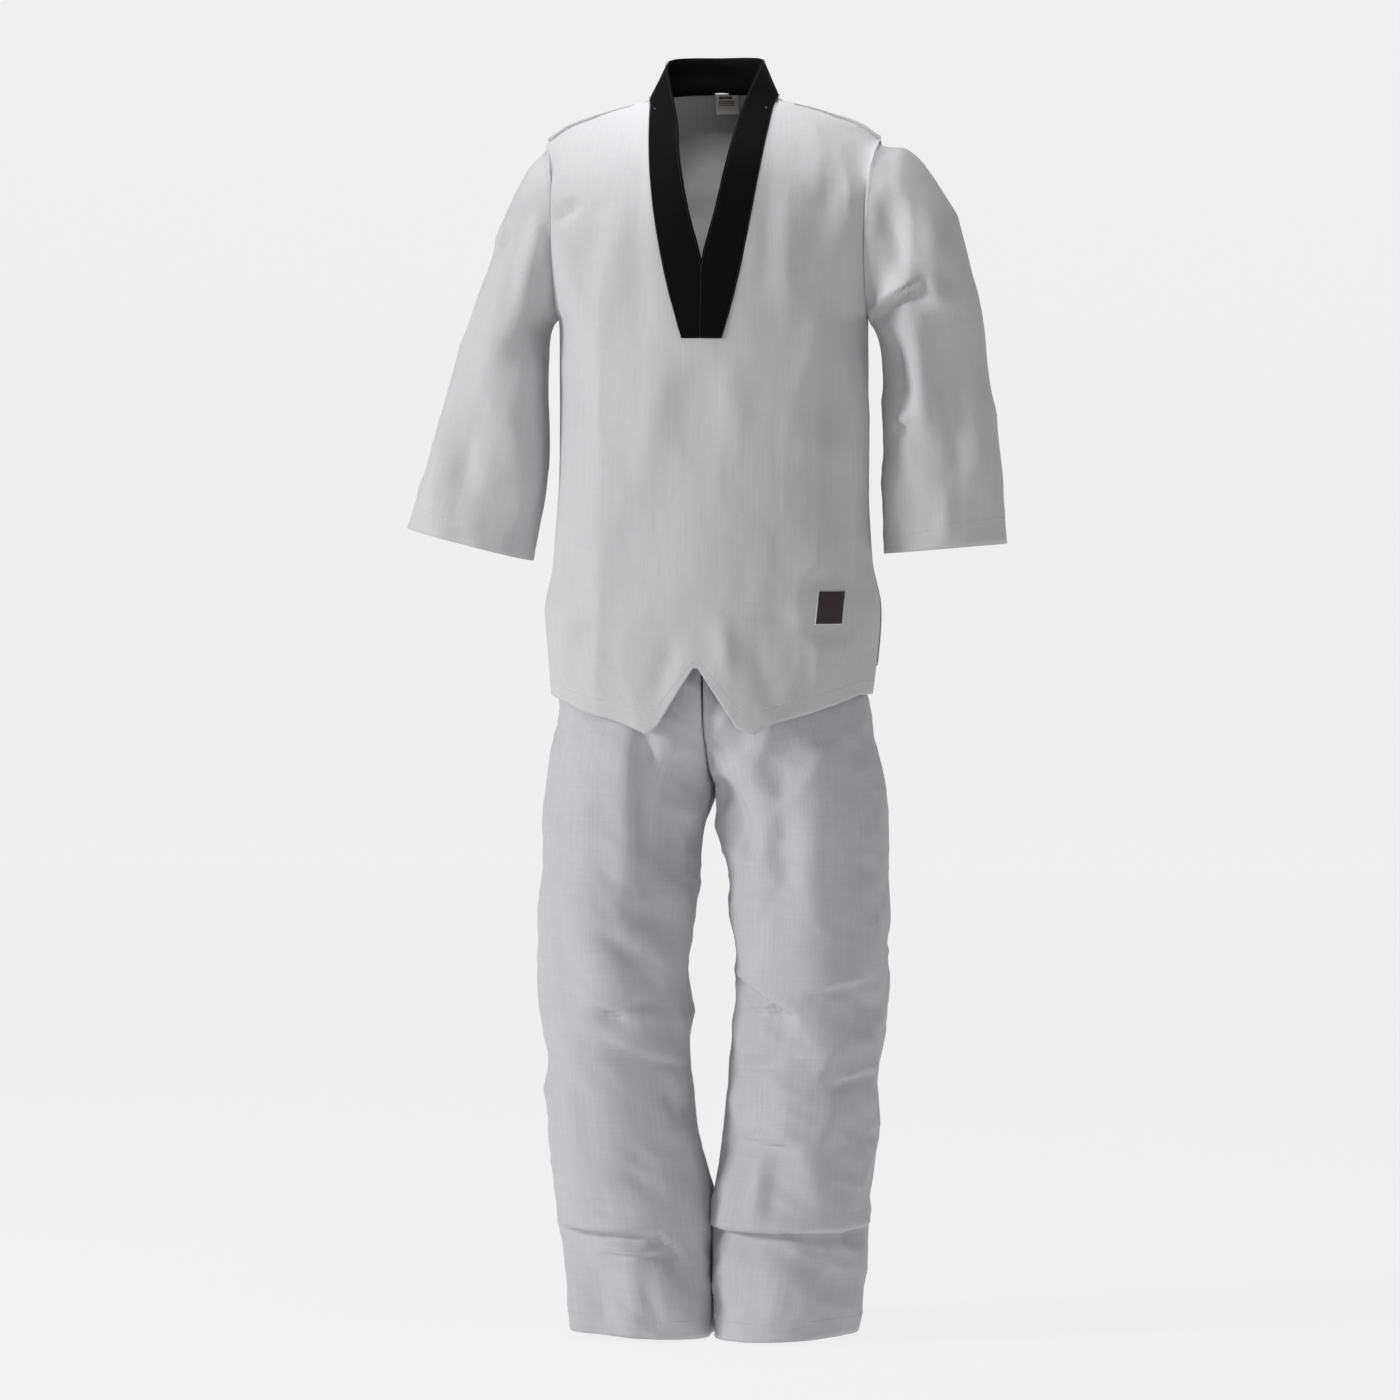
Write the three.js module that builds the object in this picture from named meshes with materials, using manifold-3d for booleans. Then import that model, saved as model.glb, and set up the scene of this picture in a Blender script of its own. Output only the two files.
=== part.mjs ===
// A pullover martial arts uniform: a white cotton V-neck jacket with a black collar band, and wide trousers.
// Millimetres. +X is the wearer's left, -Y the front, +Z up. The origin is the middle of the neck opening,
// level with the points where the shoulder seams meet the collar. Every cloth piece is a thin closed shell.
import * as THREE from "three";
import Module from "manifold-3d";
import { mergeVertices } from "three/addons/utils/BufferGeometryUtils.js";

const wasm = await Module();
wasm.setup();

// Cloth
const CLOTH = 1.6; // one canvas layer with its seam allowance
const FACING = 0.9; // a folded edge's inner layer
const LAYER_GAP = 0.6; // between a panel and the layer inside it
const SEAM_GAP = 0.6; // between the edges of two panels that are sewn together

// Jacket
const NECK_HALF = 75; // from the middle to where the shoulder seam meets the collar
const SHOULDER_HALF = 204;
const SHOULDER_DROP = 42;
const ARMPIT_Z = -264;
const FOLD_Z = -640; // the pressed fold that the tails hang from, level with the side vents
const NECK_RISE = 60; // how far the chest's form goes on rising inside the collar
const CHEST_ROUND = 220; // height over which the chest curves back to the shoulder seam
const BACK_ROUND = 130;
const VENT_TOP = -557;
const SIDE_SEAM_DEG = 89.85; // degrees round from the middle to the side seam
const VENT_DEG = 87; // the same to an open vent's edge
const ARMHOLE_FRONT = 62; // how deep the armhole reaches in front of the shoulder line
const ARMHOLE_BACK = 66;

// Collar band
const BAND_THICK = 4.2;
const BAND_CLOTH = 0.9;
const CORE_THICK = 1.2;
const CORE_CLEAR = 0.9;

// Trousers
const WAIST_TOP = -556;
const WAISTBAND_HEIGHT = 40;
const CROTCH_Z = -832;
const LEG_BOTTOM = -1505;
const HIP_FORWARD_DEG = 40;
const HIP_BACK_DEG = 20;
const FOLD_TOP = CROTCH_Z - SEAM_GAP;
const FOLD_LEAST = 8; // the height of the hip fold's cloth on the hinge line

const materials = {
  canvas: new THREE.MeshStandardMaterial({ color: 0xdcdcdc, roughness: 0.9 }),
  collar: new THREE.MeshStandardMaterial({ color: 0x0b0b0c, roughness: 0.95 }),
  core: new THREE.MeshStandardMaterial({ color: 0xcfc9bb, roughness: 0.95 }),
  elastic: new THREE.MeshStandardMaterial({ color: 0xf0efea, roughness: 0.8 }),
  label: new THREE.MeshStandardMaterial({ color: 0xe6e0d8, roughness: 0.6 }),
  patch: new THREE.MeshStandardMaterial({ color: 0x35282c, roughness: 0.85 }),
};

const rad = THREE.MathUtils.degToRad;
const vec = (x, y, z) => new THREE.Vector3(x, y, z);

// A smooth curve through [place, value] pairs that are listed from the lowest place to the highest.
function profile(pairs) {
  return (at) => {
    if (at <= pairs[0][0]) return pairs[0][1];
    const last = pairs[pairs.length - 1];
    if (at >= last[0]) return last[1];
    const i = pairs.findIndex(([place]) => place > at);
    const [[p0, v0], [p1, v1]] = [pairs[i - 1], pairs[i]];
    const before = pairs[Math.max(i - 2, 0)];
    const after = pairs[Math.min(i + 1, pairs.length - 1)];
    const slope0 = (v1 - before[1]) / (p1 - before[0]);
    const slope1 = (after[1] - v0) / (after[0] - p0);
    const t = (at - p0) / (p1 - p0);
    const h = p1 - p0;
    const bend = (2 * t ** 3 - 3 * t ** 2 + 1) * v0 + (t ** 3 - 2 * t ** 2 + t) * h * slope0;
    return bend + (3 * t ** 2 - 2 * t ** 3) * v1 + (t ** 3 - t ** 2) * h * slope1;
  };
}

// ---------------------------------------------------------------- solids

function geometryOf(points, triangles) {
  const geometry = new THREE.BufferGeometry().setFromPoints(points);
  geometry.setIndex(triangles.flat());
  return geometry;
}

function facingOut(points, triangles) {
  const volume = triangles.reduce((sum, [a, b, c]) => {
    const normal = vec(0, 0, 0).crossVectors(points[b], points[c]);
    return sum + points[a].dot(normal);
  }, 0);
  return volume >= 0 ? triangles : triangles.map(([a, b, c]) => [a, c, b]);
}

// A sheet's normal at each point of its grid, all pointing towards the form's own middle.
function normalsInward(grid, closed, middle) {
  const rows = grid.length;
  const columns = grid[0].length;
  const normals = grid.map((row, i) =>
    row.map((point, j) => {
      const left = closed ? row[(j + columns - 1) % columns] : row[Math.max(j - 1, 0)];
      const right = closed ? row[(j + 1) % columns] : row[Math.min(j + 1, columns - 1)];
      const below = grid[Math.max(i - 1, 0)][j];
      const above = grid[Math.min(i + 1, rows - 1)][j];
      return right.clone().sub(left).cross(above.clone().sub(below)).normalize();
    }),
  );
  let towards = 0;
  grid.forEach((row, i) =>
    row.forEach((point, j) => {
      towards += normals[i][j].dot(middle(point).sub(point));
    }),
  );
  return normals.map((row) => row.map((normal) => normal.multiplyScalar(towards < 0 ? -1 : 1)));
}

// A closed shell: the sheet surface(u, v), set inset inwards, and its copy thick further in, joined at the rim.
function shell(surface, { columns, rows, closed = false, inset = 0, thick = CLOTH, middle }) {
  const across = closed ? columns : columns + 1;
  const middleOf = middle ?? ((point) => vec(0, 0, point.z));
  const grid = Array.from({ length: rows + 1 }, (_, i) =>
    Array.from({ length: across }, (_, j) => surface(j / columns, i / rows)),
  );
  const normals = normalsInward(grid, closed, middleOf);
  const layer = (depth) =>
    grid.flatMap((row, i) => row.map((point, j) => point.clone().addScaledVector(normals[i][j], depth)));
  const points = [...layer(inset), ...layer(inset + thick)];
  const size = grid.length * across;
  const at = (i, j, deep) => i * across + (j % across) + deep * size;
  const triangles = [];
  const quad = (a, b, c, d) => triangles.push([a, b, c], [a, c, d]);
  for (let i = 0; i < rows; i++) {
    for (let j = 0; j < columns; j++) {
      quad(at(i, j, 0), at(i, j + 1, 0), at(i + 1, j + 1, 0), at(i + 1, j, 0));
      quad(at(i, j, 1), at(i + 1, j, 1), at(i + 1, j + 1, 1), at(i, j + 1, 1));
    }
  }
  for (let j = 0; j < columns; j++) {
    quad(at(0, j + 1, 0), at(0, j, 0), at(0, j, 1), at(0, j + 1, 1));
    quad(at(rows, j, 0), at(rows, j + 1, 0), at(rows, j + 1, 1), at(rows, j, 1));
  }
  if (!closed) {
    for (let i = 0; i < rows; i++) {
      quad(at(i, 0, 0), at(i + 1, 0, 0), at(i + 1, 0, 1), at(i, 0, 1));
      quad(at(i + 1, columns, 0), at(i, columns, 0), at(i, columns, 1), at(i + 1, columns, 1));
    }
  }
  return geometryOf(points, facingOut(points, triangles));
}

// A closed body swept through sections, each an array of points in the same order, with flat ends.
function swept(sections, outline) {
  const count = outline.length;
  const points = sections.flat();
  const triangles = [];
  for (let i = 0; i + 1 < sections.length; i++) {
    for (let j = 0; j < count; j++) {
      const next = (j + 1) % count;
      const [a, b] = [i * count + j, i * count + next];
      // Walls that face each other are split along the same diagonal, so a twist never makes them cross.
      if (outline[next].x < outline[j].x) triangles.push([a, b, a + count], [b, b + count, a + count]);
      else triangles.push([a, b, b + count], [a, b + count, a + count]);
    }
  }
  const end = (sections.length - 1) * count;
  const clockwise = THREE.ShapeUtils.isClockWise(outline);
  for (const [a, b, c] of THREE.ShapeUtils.triangulateShape(outline, [])) {
    const [second, third] = clockwise ? [c, b] : [b, c];
    triangles.push([a, third, second], [a + end, second + end, third + end]);
  }
  return geometryOf(points, facingOut(points, triangles));
}

function solidOf(geometry) {
  const flat = geometry.clone();
  flat.deleteAttribute("normal");
  flat.deleteAttribute("uv");
  const merged = mergeVertices(flat, 1e-4);
  return new wasm.Manifold(
    new wasm.Mesh({
      numProp: 3,
      vertProperties: merged.attributes.position.array,
      triVerts: new Uint32Array(merged.index.array),
    }),
  );
}

function cut(geometry, ...cutters) {
  const left = cutters.reduce((solid, cutter) => solid.subtract(solidOf(cutter)), solidOf(geometry));
  return fromSolid(left);
}

function keptInside(geometry, region) {
  return fromSolid(solidOf(geometry).intersect(solidOf(region)));
}

function fromSolid(solid) {
  const mesh = solid.getMesh();
  const result = new THREE.BufferGeometry();
  result.setAttribute("position", new THREE.BufferAttribute(mesh.vertProperties, 3));
  result.setIndex(new THREE.BufferAttribute(mesh.triVerts, 1));
  return result;
}

const body = new THREE.Group();

function add(name, geometry, material) {
  const mesh = new THREE.Mesh(geometry, materials[material]);
  mesh.name = name;
  body.add(mesh);
  return mesh;
}

// ---------------------------------------------------------------- the jacket's form

const torsoHalf = profile([
  [-765, 190],
  [-684, 201],
  [-616, 205],
  [-560, 194],
  [-460, 189],
  [-200, 190],
  [-100, 194],
  [-42, 204],
]);
const frontDepth = profile([
  [-765, 152],
  [-640, 146],
  [-520, 134],
  [-300, 132],
  [0, 128],
]);
const backDepth = profile([
  [-765, 140],
  [-640, 132],
  [-440, 104],
  [-200, 118],
  [0, 115],
]);

function shoulderZ(x) {
  const out = Math.abs(x) - NECK_HALF;
  if (out > 0) return -SHOULDER_DROP * (out / (SHOULDER_HALF - NECK_HALF)) ** 1.2;
  return NECK_RISE * (1 - (x / NECK_HALF) ** 2);
}

// How far the armhole's edge stands in front of or behind the shoulder line, at a height.
function armholeDepth(z, most) {
  const middle = (-SHOULDER_DROP + ARMPIT_Z) / 2;
  const t = (z - middle) / (middle - ARMPIT_Z);
  return Math.abs(t) < 1 ? most * Math.sqrt(1 - t * t) : 0;
}

function roundedOff(below, over, power) {
  const t = THREE.MathUtils.clamp(below / over, 0, 1);
  return (1 - (1 - t) ** 2) ** power;
}

function frontY(x, z) {
  const turn = Math.asin(THREE.MathUtils.clamp(x / torsoHalf(z), -1, 1));
  const edge = armholeDepth(z, ARMHOLE_FRONT);
  const crown = frontDepth(z) * roundedOff(shoulderZ(x) - z, CHEST_ROUND, 0.7);
  return -(edge + (crown - edge) * Math.cos(turn) ** 0.9);
}

function backY(x, z) {
  const turn = Math.asin(THREE.MathUtils.clamp(x / torsoHalf(z), -1, 1));
  const edge = armholeDepth(z, ARMHOLE_BACK);
  const crown = backDepth(z) * roundedOff(shoulderZ(x) - z, BACK_ROUND, 0.5);
  return edge + (crown - edge) * Math.cos(turn) ** 0.9;
}

// How far round a panel's edge stands: at the side seam, or further in beside an open vent.
function edgeDegrees(z) {
  const open = THREE.MathUtils.smoothstep(VENT_TOP - z, 0, VENT_TOP - FOLD_Z);
  return SIDE_SEAM_DEG + (VENT_DEG - SIDE_SEAM_DEG) * open;
}

// A jacket panel: u runs from the wearer's right to the left, v from low(x) to high(x).
function panel(depth, low, high, power) {
  return (u, v) => {
    const share = 2 * u - 1;
    const guess = Math.sin(rad(VENT_DEG * share)) * torsoHalf(ARMPIT_Z);
    const bottom = low(guess);
    const top = high(guess);
    const z = top - (top - bottom) * (1 - v) ** power;
    const x = Math.sin(rad(edgeDegrees(z) * share)) * torsoHalf(z);
    return vec(x, depth(x, z), z);
  };
}

// A rectangle of a panel, given as shares of its width and height, for a layer sewn inside it.
const piece = (surface, [u0, u1], [v0, v1]) => (u, v) => surface(u0 + (u1 - u0) * u, v0 + (v1 - v0) * v);

const UPPER_POWER = 1.5; // crowds a panel's rows towards the shoulder, where it curves most
const toShoulder = (x) => shoulderZ(x) - 1;
const atFold = () => FOLD_Z;
const frontPanel = panel(frontY, atFold, toShoulder, UPPER_POWER);
const backPanel = panel(backY, atFold, toShoulder, UPPER_POWER);

// ---------------------------------------------------------------- collar band

// The band's seam edge and free edge on the wearer's left, from its lower end round to the middle of the back.
const onChest = (x, z) => vec(x, frontY(x, z) + CLOTH / 2, z);
const seamEdge = [
  onChest(25, -293),
  onChest(37, -250),
  onChest(48, -203),
  onChest(58, -150),
  onChest(66, -95),
  onChest(72, -45),
  vec(76, -14, -5),
  vec(78, 10, 3),
  vec(70, 44, 7),
  vec(45, 74, 11),
  vec(0, 90, 13),
];
const freeEdge = [
  onChest(1.6, -293),
  onChest(1.6, -247),
  onChest(1.6, -201),
  onChest(15, -140),
  onChest(27, -82),
  vec(36, -66, -30),
  vec(47, -36, 10),
  vec(56, -2, 41),
  vec(55, 34, 52),
  vec(38, 62, 56),
  vec(0, 78, 57),
];
const SIDE_OF_NECK = 0.68; // share of the way along the band where the front piece meets the back piece

const seamCurve = new THREE.CatmullRomCurve3(seamEdge);
const freeCurve = new THREE.CatmullRomCurve3(freeEdge);

// Sections of the band between two shares of its length, each the outline drawn across the band's width.
function bandSections(from, to, count, outlineOf) {
  return Array.from({ length: count + 1 }, (_, i) => {
    const t = from + ((to - from) * i) / count;
    const seam = seamCurve.getPoint(t);
    const across = freeCurve.getPoint(t).sub(seam);
    const width = across.length();
    across.normalize();
    const along = seamCurve.getTangent(t);
    const out = vec(0, 0, 0).crossVectors(across, along).normalize();
    return outlineOf(width).map(({ x, y }) => seam.clone().addScaledVector(across, x).addScaledVector(out, y));
  });
}

const outline = (pairs) => pairs.map(([x, y]) => new THREE.Vector2(x, y));
const half = BAND_THICK / 2;
const inside = half - BAND_CLOTH;

// The cover is one strip folded over the band's free edge; the canvas core lies inside the fold.
const coverOutline = (width) =>
  outline([
    [SEAM_GAP, half],
    [SEAM_GAP, inside],
    [width - BAND_CLOTH, inside],
    [width - BAND_CLOTH, -inside],
    [SEAM_GAP, -inside],
    [SEAM_GAP, -half],
    [width, -half],
    [width, half],
  ]);
const coreOutline = (width) =>
  outline([
    [2 * SEAM_GAP, CORE_THICK / 2],
    [width - BAND_CLOTH - CORE_CLEAR, CORE_THICK / 2],
    [width - BAND_CLOTH - CORE_CLEAR, -CORE_THICK / 2],
    [2 * SEAM_GAP, -CORE_THICK / 2],
  ]);

const mirrored = (sections) => sections.map((section) => section.map(({ x, y, z }) => vec(-x, y, z)));
const END_GAP = 0.004; // share of the band left between its front pieces and its back piece

for (const [part, outlineOf, material] of [
  ["band", coverOutline, "collar"],
  ["core", coreOutline, "core"],
]) {
  const flat = outlineOf(40);
  const front = bandSections(0, SIDE_OF_NECK - END_GAP, 18, outlineOf);
  const rear = bandSections(SIDE_OF_NECK + END_GAP, 1, 9, outlineOf);
  const round = [...rear, ...mirrored(rear).reverse().slice(1)];
  add(`collar_${part}_left`, swept(front, flat), material);
  add(`collar_${part}_right`, swept(mirrored(front), flat), material);
  add(`collar_${part}_back`, swept(round, flat), material);
}

// ---------------------------------------------------------------- jacket panels

const NECK_CUT_GAP = [0.6, 4]; // clear of the band at the V's foot, and where the band stands up at the neck
const neckPoint = (t) => {
  const { x, z } = seamCurve.getPoint(t);
  const clear = NECK_CUT_GAP[0] + (NECK_CUT_GAP[1] - NECK_CUT_GAP[0]) * Math.min(t / 0.5, 1);
  return [x, z, clear];
};
const NECK_CUT_TOP = 2 * NECK_RISE;

// A prism with the shape of the neck opening, seen from the front. way is -1 to cut forwards, 1 to cut backwards.
function neckPrism(side, way) {
  const loop = [...side, ...side.map(([x, z]) => [-x, z]).reverse()];
  const shape = new THREE.Shape(outline(loop));
  const prism = new THREE.ExtrudeGeometry(shape, { depth: 200, bevelEnabled: false });
  return prism.rotateX(Math.PI / 2).translate(0, way > 0 ? 200 : 0, 0);
}

const steps = (from, to, count) => Array.from({ length: count + 1 }, (_, i) => from + ((to - from) * i) / count);
const frontNeck = steps(0, 0.6, 12).map((t) => {
  const [x, z, clear] = neckPoint(t);
  return [x + clear, t ? z : z - clear];
});
frontNeck.push([NECK_HALF + 8, NECK_CUT_TOP]);
const backNeck = steps(0.96, 0.7, 6).map((t) => {
  const [x, z, clear] = neckPoint(t);
  return [x + clear, z - 3];
});
backNeck.push([NECK_HALF + 8, NECK_CUT_TOP]);

// What stands past the shoulder seam on the other panel's side.
function pastSeam(way) {
  return new THREE.BoxGeometry(500, 40, 400).translate(0, way * (20 - SEAM_GAP / 2), -100);
}

const torsoGrid = { columns: 20, rows: 12 };
const inner = CLOTH + LAYER_GAP;
add("jacket_front_panel", cut(shell(frontPanel, torsoGrid), neckPrism(frontNeck, -1), pastSeam(1)), "canvas");
add("jacket_back_panel", cut(shell(backPanel, torsoGrid), neckPrism(backNeck, 1), pastSeam(-1)), "canvas");

// The back neck lining and the size label take the back panel's own curve, further in.
const LINING = { half: 112, low: -112, high: -4 };
const liningRegion = new THREE.BoxGeometry(2 * LINING.half, 300, LINING.high - LINING.low);
liningRegion.translate(0, 150 + 20, (LINING.high + LINING.low) / 2);
const liningShell = shell(backPanel, { ...torsoGrid, inset: inner, thick: FACING });
add("back_neck_lining", keptInside(liningShell, liningRegion), "canvas");

const LABEL = { width: 29, height: 24, thick: 0.8, x: 6, z: -1 };
const labelRegion = new THREE.BoxGeometry(LABEL.width, 100, LABEL.height).translate(LABEL.x, 80, LABEL.z);
const labelInset = inner + FACING + LAYER_GAP;
const labelShell = shell(backPanel, { ...torsoGrid, inset: labelInset, thick: LABEL.thick });
add("size_label", keptInside(labelShell, labelRegion), "label");

// The plain woven patch lies on the front panel beside the pressed fold, on the wearer's left.
const PATCH = { width: 36, height: 39, thick: 1.2, x: 152, z: -616, proud: 1.8 };
const onFront = (dx, dz) => vec(PATCH.x + dx, frontY(PATCH.x + dx, PATCH.z + dz), PATCH.z + dz);
const patch = add("hem_patch", new THREE.BoxGeometry(PATCH.width, PATCH.thick, PATCH.height), "patch");
const patchAcross = onFront(PATCH.width / 2, 0).sub(onFront(-PATCH.width / 2, 0)).normalize();
const patchUp = onFront(0, PATCH.height / 2).sub(onFront(0, -PATCH.height / 2));
const patchIn = vec(0, 0, 0).crossVectors(patchUp, patchAcross).normalize();
patchUp.crossVectors(patchAcross, patchIn);
patch.setRotationFromMatrix(new THREE.Matrix4().makeBasis(patchAcross, patchIn, patchUp));
patch.position.copy(onFront(0, 0)).addScaledVector(patchIn, -PATCH.proud);

// ---------------------------------------------------------------- tails

const frontHem = profile([
  [0, -684],
  [56, -760],
  [110, -751],
  [160, -735],
  [190, -722],
]);
const NOTCH_HALF = 56;
const NOTCH_TOP = -684;
const NOTCH_FOOT = -760;
const frontHemZ = (x) =>
  Math.abs(x) < NOTCH_HALF
    ? NOTCH_TOP + ((NOTCH_FOOT - NOTCH_TOP) * Math.abs(x)) / NOTCH_HALF
    : frontHem(Math.abs(x));
const backHem = profile([
  [0, -744],
  [100, -740],
  [160, -722],
  [190, -686],
]);
const backHemZ = (x) => backHem(Math.abs(x));
const underFold = () => FOLD_Z - SEAM_GAP;

// A tail, and the facings turned in along its vents and its hem. They share the tail's own grid.
const TAIL_COLUMNS = 24;
const TAIL_ROWS = 4;
const JOIN_GAP = 0.1; // share of a column left between a vent facing and the hem facing
const facing = { inset: inner, thick: FACING };

function hemFacing(name, surface, from, to) {
  const strip = piece(surface, [from / TAIL_COLUMNS, to / TAIL_COLUMNS], [0, 1 / TAIL_ROWS]);
  add(name, shell(strip, { columns: Math.round(to - from), rows: 1, ...facing }), "canvas");
}

function tail(name, depth, hemZ) {
  const surface = panel(depth, hemZ, underFold, 1);
  add(`${name}_tail`, shell(surface, { columns: TAIL_COLUMNS, rows: TAIL_ROWS }), "canvas");
  for (const [side, from] of [["left", TAIL_COLUMNS - 1], ["right", 0]]) {
    const span = [from / TAIL_COLUMNS, (from + 1) / TAIL_COLUMNS];
    const strip = piece(surface, span, [0, 1]);
    add(`${name}_vent_facing_${side}`, shell(strip, { columns: 1, rows: TAIL_ROWS, ...facing }), "canvas");
  }
  return surface;
}

const frontTail = tail("front", frontY, frontHemZ);
const backTail = tail("back", backY, backHemZ);
const NOTCH_COLUMNS = 3; // columns on each side of the middle that the notch takes up
const lastColumn = TAIL_COLUMNS - 1 - JOIN_GAP;
hemFacing("front_hem_facing_left", frontTail, TAIL_COLUMNS / 2 + NOTCH_COLUMNS, lastColumn);
hemFacing("front_hem_facing_right", frontTail, 1 + JOIN_GAP, TAIL_COLUMNS / 2 - NOTCH_COLUMNS);
hemFacing("back_hem_facing", backTail, 1 + JOIN_GAP, lastColumn);

// ---------------------------------------------------------------- sleeves

// Each sleeve is a row of ovals between an outer and an inner edge line, seen from the front.
const sleeves = {
  left: {
    outer: [[206, -44], [256, -78], [293, -150], [320, -250], [339, -400], [353, -540]],
    inner: [[192, -262], [202, -284], [207, -330], [208, -390], [208, -470], [208, -552]],
  },
  right: {
    outer: [[-206, -44], [-238, -105], [-262, -165], [-298, -270], [-342, -400], [-382, -520]],
    inner: [[-192, -262], [-202, -290], [-206, -340], [-206, -400], [-210, -480], [-223, -561]],
  },
};
const sleeveDepth = profile([
  [0, 66],
  [0.3, 74],
  [0.7, 70],
  [1, 66],
]);
const SLEEVE_BACK = 8; // how far behind the shoulder line the cuff hangs
const SLEEVE_HEAD = 0.12; // share of the sleeve's length over which it takes the armhole's curve
const CUFF_FACING = 0.0625; // share of the sleeve's length

function sleeveSurface({ outer, inner: under }, from = 0, to = 1) {
  const outerLine = new THREE.CatmullRomCurve3(outer.map(([x, z]) => vec(x, 0, z)));
  const innerLine = new THREE.CatmullRomCurve3(under.map(([x, z]) => vec(x, 0, z)));
  return (u, v) => {
    const t = from + (to - from) * v;
    const top = outerLine.getPoint(t);
    const low = innerLine.getPoint(t);
    const turn = 2 * Math.PI * u;
    const reach = Math.sign(Math.cos(turn)) * Math.abs(Math.cos(turn)) ** 0.9;
    const point = top.clone().add(low).multiplyScalar(0.5).addScaledVector(top.clone().sub(low), reach / 2);
    const sewn = Math.max(1 - t / SLEEVE_HEAD, 0);
    const armhole = Math.sign(point.x) * (torsoHalf(point.z) + 3 * SEAM_GAP);
    point.x += (armhole - point.x) * sewn;
    point.y = SLEEVE_BACK * t + sleeveDepth(t) * Math.sin(turn);
    return point;
  };
}

for (const [side, edges] of Object.entries(sleeves)) {
  const [top, low] = [edges.outer, edges.inner];
  const middle = (point) => {
    const t = THREE.MathUtils.clamp((point.z + 150) / -400, 0, 1);
    const i = Math.round(t * (top.length - 1));
    return vec((top[i][0] + low[i][0]) / 2, SLEEVE_BACK * t, point.z);
  };
  const round = { columns: 20, closed: true, middle };
  add(`${side}_sleeve`, shell(sleeveSurface(edges), { ...round, rows: 8 }), "canvas");
  const cuff = sleeveSurface(edges, 1 - CUFF_FACING, 0.996);
  add(`${side}_cuff_facing`, shell(cuff, { ...round, rows: 1, ...facing }), "canvas");
}

// ---------------------------------------------------------------- trousers

const trouserHalf = profile([
  [-1505, 171],
  [-1350, 190],
  [-1277, 198],
  [-1155, 207],
  [-1045, 211],
  [-948, 209],
  [-832, 202],
  [-760, 192],
  [-690, 184],
  [-600, 164],
  [-556, 156],
]);
const insideLeg = profile([
  [-1505, 2.5],
  [-1350, 2.5],
  [-1277, 17],
  [-1155, 28],
  [-1045, 32],
  [-948, 20],
  [-832, 2.5],
  [-700, 0.5],
]);
const legDepth = profile([
  [-1505, 84],
  [-1350, 92],
  [-1155, 98],
  [-948, 108],
  [-832, 116],
  [-690, 122],
  [-600, 106],
  [-556, 98],
]);

// The angle, from the outer seam round to the inner one, that a trouser half covers: 90 at the hips, 180 in a leg.
function sweepOf(z) {
  const t = THREE.MathUtils.clamp((z - CROTCH_Z) / (-715 - CROTCH_Z), 0, 1);
  return 180 - 90 * t ** 0.7;
}

// A trouser half's surface at an angle from the outer seam, positive to the front. side is 1 or -1.
function trouserPoint(side, degrees, z) {
  const inseam = insideLeg(z);
  const sweep = sweepOf(z);
  const radius = (trouserHalf(z) - inseam) / (1 - Math.cos(rad(sweep)));
  const turn = rad(degrees);
  const x = trouserHalf(z) - radius + radius * Math.cos(turn);
  return vec(side * x, -legDepth(z) * Math.sin(turn), z);
}

const hipTop = WAIST_TOP - WAISTBAND_HEIGHT - SEAM_GAP;
const sides = [["left", 1], ["right", -1]];
const faces = [["front", 1], ["back", -1]];
const EDGE_DEG = 0.35; // half the gap at a long seam
const legMiddle = (side) => (point) => vec(side * 100, 0, point.z);

function waistRing(u, v) {
  const turn = 2 * Math.PI * u;
  const z = WAIST_TOP - WAISTBAND_HEIGHT * v;
  return vec(trouserHalf(z) * Math.cos(turn), -legDepth(z) * Math.sin(turn), z);
}
const ELASTIC_INSET = 0.3;
const waist = { columns: 28, rows: 1, closed: true };
add("waistband_outer", shell(waistRing, { ...waist, thick: FACING }), "canvas");
const elasticIn = FACING + ELASTIC_INSET;
add("waistband_elastic", shell(waistRing, { ...waist, inset: elasticIn, thick: 1.4 }), "elastic");
add("waistband_inner", shell(waistRing, { ...waist, inset: elasticIn + 1.4 + ELASTIC_INSET, thick: FACING }), "canvas");

// The cloth under the hip hinge: the front and back of the leg begin lower, so that the leg can swing.
function legTop(y) {
  const swing = y < 0 ? HIP_FORWARD_DEG : HIP_BACK_DEG;
  return FOLD_TOP - FOLD_LEAST - Math.abs(y) * Math.tan(rad(swing));
}

const ringY = (degrees) => -legDepth(CROTCH_Z - 50) * Math.sin(rad(degrees));

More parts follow.
